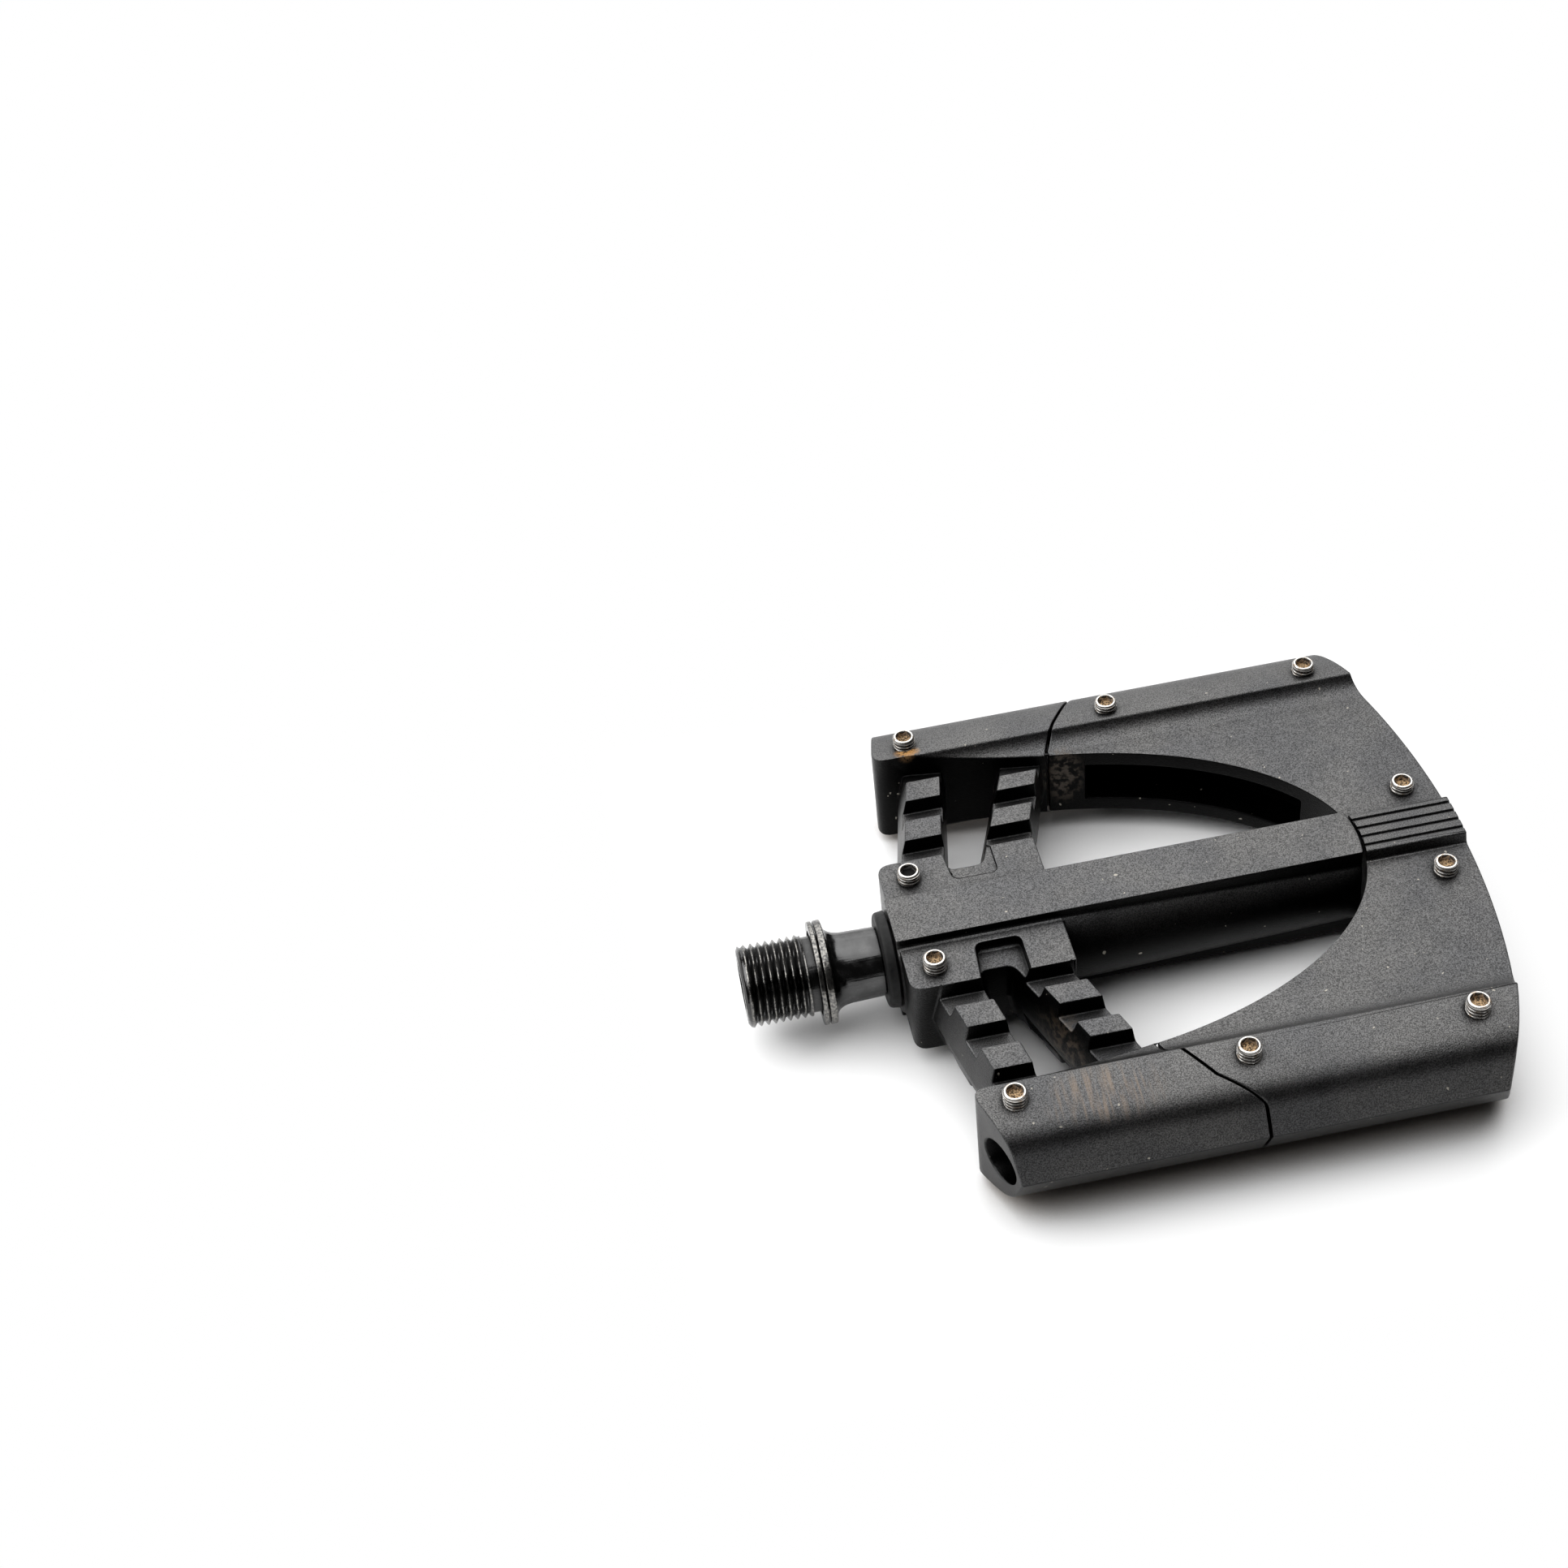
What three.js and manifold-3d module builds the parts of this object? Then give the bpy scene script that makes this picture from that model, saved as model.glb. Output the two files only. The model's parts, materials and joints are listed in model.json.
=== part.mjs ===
import * as THREE from 'three';
import { mergeVertices } from 'three/addons/utils/BufferGeometryUtils.js';
import Module from 'manifold-3d';

const wasm = await Module();
wasm.setup();

// A flat bicycle pedal for the right-hand crank, in millimetres.
// x runs along the spindle from the crank side to the outboard rim, y runs across the platform
// and z is up. x = 0 is the first row of pins, and y = z = 0 is the spindle's axis.

// Driving dimensions: arched cut-out of the cage, and the hollows in its walls
const archCentreX = 10.0;
const archLength = 60.8;
const hollowDepthX = 6.0;
const hollowDepthY = 7.0;
const hollowLip = 3.0;
const hollowInset = 6.7;
const hollowEndShare = 0.408;

// Driving dimensions: platform
const halfWidth = 52.3;
const rimWidth = 17.3;
const rimRadius = 155;
const rimCornerDrop = 1.5;
const rimCornerPower = 7;
const deckZ = 7.1;
const coveWidth = 4.5;
const railWidth = 13.3;
const ridgeZ = 9.65;
const shoulderInset = 3.7;
const shoulderZ = 6.2;
const archSideWidth = 16.3;
const coveControlShares = [0.644, 0.04];
const crownControlShares = [0.677, 0.188];
const sideControlShares = [0.568, 0.42];

// Driving dimensions: ribbed pad in the middle of the rim
const ribPadHalf = 4.55;
const ribPadZ = 9.0;
const ribPadFoot = 0.7;
const ribPitch = 2.08;
const grooveWidth = 0.62;
const grooveFloorWidth = 0.34;
const grooveDepth = 0.5;
const groovesPerSide = 2;

// Driving dimensions: joint between the body's end blocks and the cage
const seamStartX = 24.8;
const seamGap = 0.6;
const nearSeam = {
  length: 13.8,
  shares: [[0, 0], [0.05, 0.139], [0.21, 0.225], [0.514, 0.561], [0.819, 0.751], [0.978, 0.85], [1, 1]],
};
const farSeam = {
  length: 8.4,
  shares: [
    [0, 0], [0.01, 0.057], [0.14, 0.178], [0.31, 0.339], [0.55, 0.523], [0.74, 0.667], [0.9, 0.8], [1, 1],
  ],
};

// Driving dimensions: end blocks of the body
const blockEndX = -6.8;
const blockStraight = 6.8;
const blockCornerRadius = 3.0;
const nearSlantShare = 0.4;
const farSlantShare = 0.18;

// Driving dimensions: hub block, barrel and the flat strip along it
const hubX = -10.9;
const hubLength = 28.1;
const hubHalfWidth = 14.9;
const hubCornerRadius = 2.5;
const padZ = 7.7;
const stripHalf = 5.1;
const barrelStand = 0.5;
const barrelRootWall = 2.5;
const barrelTipWall = 1.0;
const barrelGap = 0.6;

// Driving dimensions: arms from the hub to the end blocks, and the steps cut across them
const armOverlap = 3.9;
const notchDepth = 2.9;
const notchDraft = 0.35;
const armLean = { inboard: 1.85, outboard: 0.8 };
const arms = [
  { inboard: [-5.8, -0.5], outboard: [0.7, 5.7], landShares: [0.2, 0.407, 0.606, 0.809] },
  { inboard: [8.8, 17.9], outboard: [16.2, 24.6], landShares: [0.183, 0.361, 0.539, 0.693] },
];

// Driving dimensions: windows between the arms, and the recesses in the hub beside them
const windowBite = 3.8;
const windowInset = 0.4;
const windowLean = 1.9;
const windowCornerRadius = 1.4;
const deepRecess = { length: 7.8, depth: 2.0 };
const shallowRecess = { length: 6.5, depth: 0.4 };
const recessInset = 0.25;

// Driving dimensions: bores of the barrel, and the fits in it
const boreRadius = 7.0;
const boreShoulder = 1.0;
const bushSeatX = 10.3;
const seatGap = 0.25;
const runningGap = 0.2;

// Driving dimensions: spindle
const threadLength = 13.8;
const threadRadius = 7.144;
const threadDepth = 0.78;
const threadPitch = 1.27;
const threadTurns = 8;
const threadChamfer = 0.8;
const reliefRadius = 6.55;
const flangeThickness = 1.3;
const flangeRadius = 9.0;
const flangeEdge = 0.25;
const flangeFillet = 2.4;
const flangeFilletLength = 3.6;
const neckLength = 10.4;
const neckTaper = 0.15;
const neckStep = 0.5;
const bushWall = 1.05;
const journalPastBush = 1.7;
const waistTaper = 1.0;
const waistLength = 2.3;
const bearingBoreRadius = 3.5;
const studRadius = 3.0;
const studPastNut = 1.8;
const hexKeyFlats = 8.0;
const hexKeyDepth = 8.0;

// Driving dimensions: washer on the crank side
const crankWasherThickness = 0.8;
const crankWasherPlay = 0.256;

// Driving dimensions: seal, bush, bearing, lock washer, nut and end plug
const sealStand = 2.2;
const sealRadius = 8.45;
const sealEdge = 0.8;
const sealSpigot = 2.8;
const bearingWidth = 5.0;
const raceWallShare = 0.26;
const ballRadius = 1.0;
const ballCount = 9;
const raceGap = 0.12;
const cageWall = 0.16;
const cageHalfLength = 0.55;
const shieldThickness = 0.4;
const shieldInset = 0.3;
const lockWasherThickness = 1.0;
const lockWasherRim = 2.4;
const nutFlats = 10.0;
const nutHeight = 4.8;
const plugClearance = 2.2;
const plugLength = 6.0;
const plugInset = 3.4;
const plugGrooveStart = 1.2;
const ringRadius = 0.65;
const plugKeyFlats = 6.0;
const plugKeyDepth = 3.0;

// Driving dimensions: bolts that hold the cage to the end blocks
const boltInset = 5.7;
const boltHeadSeatX = 12.0;
const boltHeadRadius = 3.5;
const boltHeadPlay = 0.4;
const boltHeadHeight = 4.0;
const boltRadius = 2.0;
const boltReach = 12.0;
const boltKeyFlats = 3.0;
const boltKeyDepth = 2.0;

// Driving dimensions: traction pins, each set back from the edge that it follows
const pinRadius = 2.0;
const pinStand = 2.4;
const pinLength = 7.2;
const pinTopInset = 0.35;
const pinChamfer = 0.35;
const pinKeyFlats = 2.5;
const pinKeyDepth = 1.9;
const railPinInset = 9.9;
const firstRailPin = 6.8;
const seamPinInset = 0.9;
const lastRailPin = 13.1;
const rimPin = { inset: 5.9, y: 10.4 };
const hubPin = { inset: 5.0, sideInset: 4.3 };

// Fineness of round faces, and the length that every cut runs past what it cuts
const boreSides = 24;
const ringSides = 32;
const pinSides = 12;
const keySides = 6;
const ballSides = 8;
const ballRows = 6;
const sealingRingSides = 8;
const arcSteps = 3;
const rimSteps = 20;
const archSteps = 36;
const hollowSteps = 10;
const sectionSteps = 5;
const overrun = 2.0;
const weld = 1e-4;

// Sizes that follow from the driving dimensions: across the platform
const ridgeY = halfWidth - railWidth;
const slopeFootY = ridgeY - coveWidth;
const shoulderY = halfWidth - shoulderInset;
const archHalfWidth = halfWidth - archSideWidth;
const boltY = halfWidth - boltInset;
const railPinY = halfWidth - railPinInset;

// Sizes that follow: along the platform
const archTipX = archCentreX + archLength;
const rimX = archTipX + rimWidth;
const seamEndX = seamStartX + nearSeam.length;
const hollowStartX = seamStartX + hollowInset;
const hollowEndY = archHalfWidth * hollowEndShare;
const hollowHalfHeight = deckZ - hollowLip;
const blockKneeX = blockEndX + blockStraight;
const hubFrontX = hubX + hubLength;
const barrelX = hubX - barrelStand;
const barrelEndX = archTipX - barrelGap;
const notchFloorZ = padZ - notchDepth;

// Sizes that follow: bores and what fills them, from the crank side to the rim
const barrelRootRadius = boreRadius + barrelRootWall;
const barrelTipRadius = boreRadius + barrelTipWall;
const stripZ = barrelRootRadius;
const midBoreRadius = boreRadius - boreShoulder;
const fittedRadius = boreRadius - seatGap;
const bushInnerRadius = fittedRadius - bushWall;
const journalRadius = bushInnerRadius - runningGap;
const neckEndRadius = journalRadius + neckStep;
const neckRadius = neckEndRadius + neckTaper;
const waistRadius = journalRadius - waistTaper;
const sealX = barrelX - sealStand;
const sealBackX = barrelX - seatGap;
const sealSpigotX = barrelX + sealSpigot;
const bushX = sealSpigotX + seatGap;
const flangeX = sealX - neckLength;
const threadEndX = flangeX - threadLength;
const journalEndX = bushSeatX + journalPastBush;
const plugEndX = barrelEndX - plugInset;
const plugX = plugEndX - plugLength;
const studEndX = plugX - plugClearance;
const nutX = studEndX - studPastNut - nutHeight;
const lockWasherX = nutX - seatGap - lockWasherThickness;
const bearingX = lockWasherX - seatGap - bearingWidth;
const bearingSeatX = bearingX - seatGap;
const waistX = bearingSeatX - waistLength;
const counterboreRadius = boltHeadRadius + boltHeadPlay;

// Outlines

const point = (x, y) => new THREE.Vector2(x, y);

// The points of one curve with two ends and one control point, given as shares of the way
function sweep(from, to, controlShares, steps) {
  const control = point(
    THREE.MathUtils.lerp(from.x, to.x, controlShares[0]),
    THREE.MathUtils.lerp(from.y, to.y, controlShares[1]),
  );
  return new THREE.QuadraticBezierCurve(from, control, to).getPoints(steps);
}

// A corner rounded between the two edges that meet there
function roundedCorner(before, corner, after, radius) {
  const start = corner.clone().add(before.clone().sub(corner).setLength(radius));
  const end = corner.clone().add(after.clone().sub(corner).setLength(radius));
  return new THREE.QuadraticBezierCurve(start, corner, end).getPoints(arcSteps);
}

// An outline whose corners are rounded, each by its own radius, or left sharp where that is zero
function roundedOutline(corners, radii) {
  return corners.flatMap((corner, i) => {
    const before = corners[(i + corners.length - 1) % corners.length];
    const after = corners[(i + 1) % corners.length];
    return radii[i] > 0 ? roundedCorner(before, corner, after, radii[i]) : [corner];
  });
}

// The rail's upper surface from the foot of the cove to the parting line, as distance and height
function railSurface() {
  const foot = point(slopeFootY, deckZ);
  const ridge = point(ridgeY, ridgeZ);
  const shoulder = point(shoulderY, shoulderZ);
  const edge = point(halfWidth, 0);
  return [
    ...sweep(foot, ridge, coveControlShares, sectionSteps),
    ...sweep(ridge, shoulder, crownControlShares, sectionSteps).slice(1),
    ...sweep(shoulder, edge, sideControlShares, sectionSteps).slice(1),
  ];
}

// Height of the rail's crown where its pins stand
function railHeight(y) {
  const surface = railSurface();
  const i = surface.findIndex((p) => p.x > y);
  const [a, b] = [surface[i - 1], surface[i]];
  return THREE.MathUtils.mapLinear(y, a.x, b.x, a.y, b.y);
}

// The ribbed pad's surface from the middle of the platform down to the deck
function ribbedSurface() {
  const points = [point(0, ribPadZ)];
  for (let i = 0; i < groovesPerSide; i += 1) {
    const middle = (i + 0.5) * ribPitch;
    points.push(point(middle - grooveWidth / 2, ribPadZ));
    points.push(point(middle - grooveFloorWidth / 2, ribPadZ - grooveDepth));
    points.push(point(middle + grooveFloorWidth / 2, ribPadZ - grooveDepth));
    points.push(point(middle + grooveWidth / 2, ribPadZ));
  }
  points.push(point(ribPadHalf, ribPadZ));
  points.push(point(ribPadHalf + ribPadFoot, deckZ));
  return points;
}

// The whole section across the platform, alike on all four sides
function platformSection() {
  const quarter = [...ribbedSurface(), ...railSurface()];
  const right = quarter.slice().reverse();
  const left = quarter.slice(1).map((p) => point(-p.x, p.y));
  const lowerLeft = right.slice(1).map((p) => point(-p.x, -p.y));
  const lowerRight = quarter.slice(1, -1).map((p) => point(p.x, -p.y));
  return [...right, ...left, ...lowerLeft, ...lowerRight];
}

// A seam between an end block and the cage, drawn on the far side and moved along x by half the gap
function seam({ length, shares }, shift) {
  const startY = ellipsePoint(archLength, archHalfWidth, angleAtX(archLength, seamStartX)).y;
  return shares.map(([alongShare, acrossShare]) => point(
    seamStartX + length * alongShare + shift,
    THREE.MathUtils.lerp(startY, halfWidth, acrossShare),
  ));
}

function ellipsePoint(length, halfHeight, angle) {
  return point(archCentreX + length * Math.cos(angle), halfHeight * Math.sin(angle));
}

function angleAtX(length, x) {
  return Math.acos((x - archCentreX) / length);
}

function ellipseArc(length, halfHeight, fromAngle, toAngle, steps) {
  return Array.from({ length: steps + 1 }, (_, i) => (
    ellipsePoint(length, halfHeight, THREE.MathUtils.lerp(fromAngle, toAngle, i / steps))
  ));
}

// The outboard rim: a wide arc that falls away faster at the corners
function rimPoint(y) {
  const arc = rimRadius - Math.sqrt(rimRadius ** 2 - y ** 2);
  return point(rimX - arc - rimCornerDrop * Math.abs(y / halfWidth) ** rimCornerPower, y);
}

const mirrored = (points) => points.map((p) => point(p.x, -p.y)).reverse();

// Solids

// A closed geometry as a solid that can be joined and cut
function toSolid(geometry) {
  const bare = geometry.clone();
  bare.deleteAttribute('normal');
  bare.deleteAttribute('uv');
  const merged = mergeVertices(bare, weld);
  const corners = merged.index.array;
  const kept = [];
  for (let i = 0; i < corners.length; i += 3) {
    const [a, b, c] = corners.slice(i, i + 3);
    if (a !== b && b !== c && c !== a) kept.push(a, b, c);
  }
  return new wasm.Manifold(new wasm.Mesh({
    numProp: 3,
    vertProperties: new Float32Array(merged.attributes.position.array),
    triVerts: new Uint32Array(kept),
  }));
}

function toGeometry(solid) {
  const mesh = solid.getMesh();
  const geometry = new THREE.BufferGeometry();
  geometry.setAttribute('position', new THREE.BufferAttribute(mesh.vertProperties, 3));
  geometry.setIndex(new THREE.BufferAttribute(mesh.triVerts, 1));
  geometry.computeVertexNormals();
  return geometry;
}

// A section drawn in y and z, run along x
function barAlongX(section, fromX, toX) {
  const geometry = new THREE.ExtrudeGeometry(new THREE.Shape(section), {
    depth: toX - fromX,
    bevelEnabled: false,
  });
  const turn = new THREE.Matrix4().makeBasis(
    new THREE.Vector3(0, 1, 0),
    new THREE.Vector3(0, 0, 1),
    new THREE.Vector3(1, 0, 0),
  );
  geometry.applyMatrix4(turn);
  geometry.translate(fromX, 0, 0);
  return toSolid(geometry);
}

// An outline drawn in x and y, run along z
function plate(outline, fromZ, toZ) {
  const geometry = new THREE.ExtrudeGeometry(new THREE.Shape(outline), {
    depth: toZ - fromZ,
    bevelEnabled: false,
  });
  geometry.translate(0, 0, fromZ);
  return toSolid(geometry);
}

// The solid that wraps outlines drawn in x and y, each at its own height
function hullOf(levels) {
  return wasm.Manifold.hull(levels.flatMap(([outline, z]) => outline.map((p) => [p.x, p.y, z])));
}

// A closed profile of [x, radius] points turned about the spindle's axis
function turnedGeometry(profile, sides) {
  let points = profile.map(([x, radius]) => point(radius, x));
  if (THREE.ShapeUtils.isClockWise(points)) points.reverse();
  if (points[0].x > 0 || points.at(-1).x > 0) points = [...points, points[0]];
  const geometry = new THREE.LatheGeometry(points, sides);
  geometry.rotateZ(-Math.PI / 2);
  return geometry;
}

const turned = (profile, sides) => toSolid(turnedGeometry(profile, sides));

// A plain round rod or hole along x
function rodAlongX(radius, fromX, toX, sides) {
  return turned([[fromX, 0], [fromX, radius], [toX, radius], [toX, 0]], sides);
}

// A ring along x
function ringProfile(innerRadius, outerRadius, fromX, toX) {
  return [[fromX, innerRadius], [fromX, outerRadius], [toX, outerRadius], [toX, innerRadius]];
}

// A six-sided key hole or nut along x, by its size across flats
function hexAlongX(flats, fromX, toX) {
  const cornerRadius = flats / 2 / Math.cos(Math.PI / keySides);
  return rodAlongX(cornerRadius, fromX, toX, keySides);
}

const joined = (solids) => solids.reduce((sum, solid) => sum.add(solid));
const cut = (solid, tools) => tools.reduce((left, tool) => left.subtract(tool), solid);

// Places of the pins: where each stands, on what height, and which piece carries it

const railZ = railHeight(railPinY);
const railPinRows = {
  inboard: blockEndX + firstRailPin,
  middle: seamEndX - seamPinInset,
  outboard: rimX - lastRailPin,
};
const rimPinX = rimX - rimPin.inset;
const hubPinX = hubX + hubPin.inset;
const hubPinY = hubHalfWidth - hubPin.sideInset;
const pinPlaces = [];
for (const [side, sign] of [['near', -1], ['far', 1]]) {
  for (const [row, x] of Object.entries(railPinRows)) {
    const carrier = row === 'inboard' ? 'body' : 'cage';
    pinPlaces.push({ name: `${side}_rail_${row}`, x, y: sign * railPinY, surface: railZ, carrier });
  }
  pinPlaces.push({ name: `${side}_rim`, x: rimPinX, y: sign * rimPin.y, surface: deckZ, carrier: 'cage' });
  pinPlaces.push({ name: `${side}_hub`, x: hubPinX, y: sign * hubPinY, surface: padZ, carrier: 'body' });
}

// The upright holes of a carrier's pins, from above and from below
function pinHoles(carrier) {
  return pinPlaces.filter((place) => place.carrier === carrier).flatMap((place) => {
    const low = place.surface + pinStand - pinLength - seatGap;
    const height = pinLength + seatGap + overrun;
    const hole = new THREE.CylinderGeometry(pinRadius + seatGap, pinRadius + seatGap, height, pinSides);
    hole.rotateX(Math.PI / 2);
    hole.translate(place.x, place.y, low + height / 2);
    const solid = toSolid(hole);
    return [solid, solid.rotate([180, 0, 0]).translate([0, 2 * place.y, 0])];
  });
}

// Outer cage: the platform's section, cut to the rim, the seam and the arch

function cagePlan() {
  const reach = halfWidth + overrun;
  const rim = Array.from({ length: rimSteps + 1 }, (_, i) => (
    rimPoint(THREE.MathUtils.lerp(-halfWidth, halfWidth, i / rimSteps))
  ));
  const corner = rim.at(-1);
  const far = seam(farSeam, seamGap / 2).slice(1).reverse();
  const near = mirrored(seam(nearSeam, seamGap / 2).slice(1).reverse());
  const archAngle = angleAtX(archLength, seamStartX + seamGap / 2);
  const arch = ellipseArc(archLength, archHalfWidth, archAngle, -archAngle, archSteps);
  return [
    point(corner.x, -reach),
    ...rim,
    point(corner.x, reach),
    point(far[0].x, reach),
    ...far,
    ...arch,
    ...near,
    point(near.at(-1).x, -reach),
  ];
}

// The hollow sunk into the arch's wall on the far side
function wallHollow() {
  const outerLength = archLength + hollowDepthX;
  const outerHalf = archHalfWidth + hollowDepthY;
  const innerLength = archLength - overrun;
  const innerHalf = archHalfWidth - overrun;
  const outer = ellipseArc(
    outerLength,
    outerHalf,
    Math.asin(hollowEndY / outerHalf),
    angleAtX(outerLength, hollowStartX),
    hollowSteps,
  );
  const inner = ellipseArc(
    innerLength,
    innerHalf,
    angleAtX(innerLength, hollowStartX),
    Math.asin(hollowEndY / innerHalf),
    hollowSteps,
  );
  return [...outer, ...inner];
}

function boltAxis(solid, sign) {
  return solid.translate([0, sign * boltY, 0]);
}

function outerCage() {
  const section = barAlongX(platformSection(), seamStartX, rimX + overrun);
  const plan = plate(cagePlan(), -ridgeZ - overrun, ridgeZ + overrun);
  const hollow = wallHollow();
  const boltHole = rodAlongX(boltRadius + seatGap, seamStartX, seamEndX + boltReach, boreSides);
  return cut(section.intersect(plan), [
    plate(hollow, -hollowHalfHeight, hollowHalfHeight),
    plate(mirrored(hollow), -hollowHalfHeight, hollowHalfHeight),
    boltAxis(boltHole, 1),
    boltAxis(boltHole, -1),
    ...pinHoles('cage'),
  ]);
}

// Pedal body: end blocks, arms, hub block, barrel and strip in one forging

// The outline of an end block on the far side, whose inboard end is slanted by a share of its width
function blockPlan(itsSeam, slantShare) {
  const reach = halfWidth + overrun;
  const edge = seam(itsSeam, -seamGap / 2);
  const endCorner = point(blockEndX, ridgeY);
  const outerEnd = point(blockEndX + slantShare * (reach - ridgeY), reach);
  const knee = point(blockKneeX, ridgeY);
  return [
    knee,
    ...edge,
    point(edge.at(-1).x, reach),
    outerEnd,
    ...roundedCorner(outerEnd, endCorner, knee, blockCornerRadius),
  ];
}

function endBlocks() {
  const section = barAlongX(platformSection(), blockEndX, seamEndX);
  const low = -ridgeZ - overrun;
  const high = ridgeZ + overrun;
  const far = plate(blockPlan(farSeam, farSlantShare), low, high);
  const near = plate(mirrored(blockPlan(nearSeam, nearSlantShare)), low, high);
  return section.intersect(far.add(near));
}

// The x of an arm's edge at a distance from the spindle's axis
function armEdge([rootX, tipX], y) {
  return THREE.MathUtils.mapLinear(y, hubHalfWidth, ridgeY, rootX, tipX);
}

// The outline of an arm on the far side at one height, its flanks moved out by a share of their lean
function armOutline({ inboard, outboard }, share) {
  return [hubHalfWidth - armOverlap, ridgeY].flatMap((y) => [
    point(armEdge(inboard, y) - armLean.inboard * share, y),
    point(armEdge(outboard, y) + armLean.outboard * share, y),
  ]);
}

// One arm on the far side, with its steps cut from above and from below
function arm(dimensions) {
  const { inboard, outboard, landShares } = dimensions;
  const block = hullOf([
    [armOutline(dimensions, 0), -padZ],
    [armOutline(dimensions, 1), 0],
    [armOutline(dimensions, 0), padZ],
  ]);
  const landEdges = landShares.map((share) => THREE.MathUtils.lerp(hubHalfWidth, ridgeY, share));
  const notchEdges = [hubHalfWidth, ...landEdges, ridgeY + overrun];
  const notches = [];
  for (let i = 0; i < notchEdges.length; i += 2) {
    const [from, to] = [notchEdges[i], notchEdges[i + 1]];
    const section = [
      point(from + notchDraft, notchFloorZ),
      point(to - notchDraft, notchFloorZ),
      point(to, padZ),
      point(to, padZ + overrun),
      point(from, padZ + overrun),
      point(from, padZ),
    ];
    const notch = barAlongX(section, inboard[0] - overrun, outboard[1] + overrun);
    notches.push(notch, notch.mirror([0, 0, 1]));
  }
  return cut(block, notches);
}

// The opening between the two arms on the far side at one height, where it bites into the hub block
function windowPlan(startY, outboardInset) {
  const inboardEdge = (y) => armEdge(arms[0].outboard, y) + armLean.outboard;
  const outboardEdge = (y) => armEdge(arms[1].inboard, y) - outboardInset;
  const corners = [
    point(inboardEdge(startY), startY),
    point(outboardEdge(startY), startY),
    point(outboardEdge(hubHalfWidth), hubHalfWidth),
    point(inboardEdge(hubHalfWidth), hubHalfWidth),
  ];
  return roundedOutline(corners, [windowCornerRadius, windowCornerRadius, 0, 0]);
}

// The window's walls lean in towards the middle of its depth, as the arms' flanks do
function windowCut() {
  const wide = windowPlan(hubHalfWidth - windowBite, windowInset);
  const waist = windowPlan(hubHalfWidth - windowBite + windowLean, armLean.inboard);
  const upper = hullOf([[wide, padZ], [waist, 0]]);
  return upper.add(hullOf([[wide, -padZ], [waist, 0]]));
}

// A recess in the hub's pad beside the far window, as deep as asked below the pad
function recess({ length, depth }) {
  const startY = hubHalfWidth - length;
  const inboardX = arms[0].outboard[0] + recessInset;
  const outboardX = arms[1].inboard[0] + recessInset;
  const corners = [
    point(inboardX, startY),
    point(outboardX, startY),
    point(outboardX, hubHalfWidth),
    point(inboardX, hubHalfWidth),
  ];
  const outline = roundedOutline(corners, [windowCornerRadius, windowCornerRadius, 0, 0]);
  return plate(outline, padZ - depth, padZ + overrun);
}

// The hub block with the roots of all four arms, opened by the windows and the recesses
function hubAndArms() {
  const corners = [
    point(hubX, -hubHalfWidth),
    point(hubFrontX, -hubHalfWidth),
    point(hubFrontX, hubHalfWidth),
    point(hubX, hubHalfWidth),
  ];
  const outline = roundedOutline(corners, [hubCornerRadius, 0, 0, hubCornerRadius]);
  const farArms = joined(arms.map(arm));
  const block = joined([plate(outline, -padZ, padZ), farArms, farArms.mirror([0, 1, 0])]);
  const window = windowCut();
  const upperDeep = recess(deepRecess).mirror([0, 1, 0]);
  const upperShallow = recess(shallowRecess);
  return cut(block, [
    window,
    window.mirror([0, 1, 0]),
    upperDeep,
    upperShallow,
    upperDeep.rotate([180, 0, 0]),
    upperShallow.rotate([180, 0, 0]),
  ]);
}

// Barrel and strip, ended by a curve that follows the arch at a small gap
function barrel() {
  const length = archLength - barrelGap;
  const half = archHalfWidth - barrelGap;
  const tube = turned([
    [barrelX, 0],
    [barrelX, barrelRootRadius],
    [hubFrontX, barrelRootRadius],
    [archTipX, barrelTipRadius],
    [archTipX, 0],
  ], ringSides);
  const stripSection = [
    point(-stripHalf, -stripZ),
    point(stripHalf, -stripZ),
    point(stripHalf, stripZ),
    point(-stripHalf, stripZ),
  ];
  const strip = barAlongX(stripSection, barrelX, archTipX);
  const end = ellipseArc(length, half, -Math.PI / 2, Math.PI / 2, archSteps);
  const plan = [point(barrelX, -half), ...end, point(barrelX, half)];
  return tube.add(strip).intersect(plate(plan, -stripZ - overrun, stripZ + overrun));
}

function pedalBody() {
  const block = joined([endBlocks(), hubAndArms(), barrel()]);
  const counterbore = rodAlongX(counterboreRadius, blockEndX - overrun, boltHeadSeatX, boreSides);
  const boltHole = rodAlongX(boltRadius + seatGap, blockEndX, seamEndX + overrun, boreSides);
  return cut(block, [
    rodAlongX(boreRadius, barrelX - overrun, bushSeatX, ringSides),
    rodAlongX(midBoreRadius, barrelX, rimX, ringSides),
    rodAlongX(boreRadius, bearingSeatX, rimX, ringSides),
    ...[-1, 1].flatMap((sign) => [boltAxis(counterbore, sign), boltAxis(boltHole, sign)]),
    ...pinHoles('body'),
  ]);
}

// Spindle and what turns with it

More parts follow.
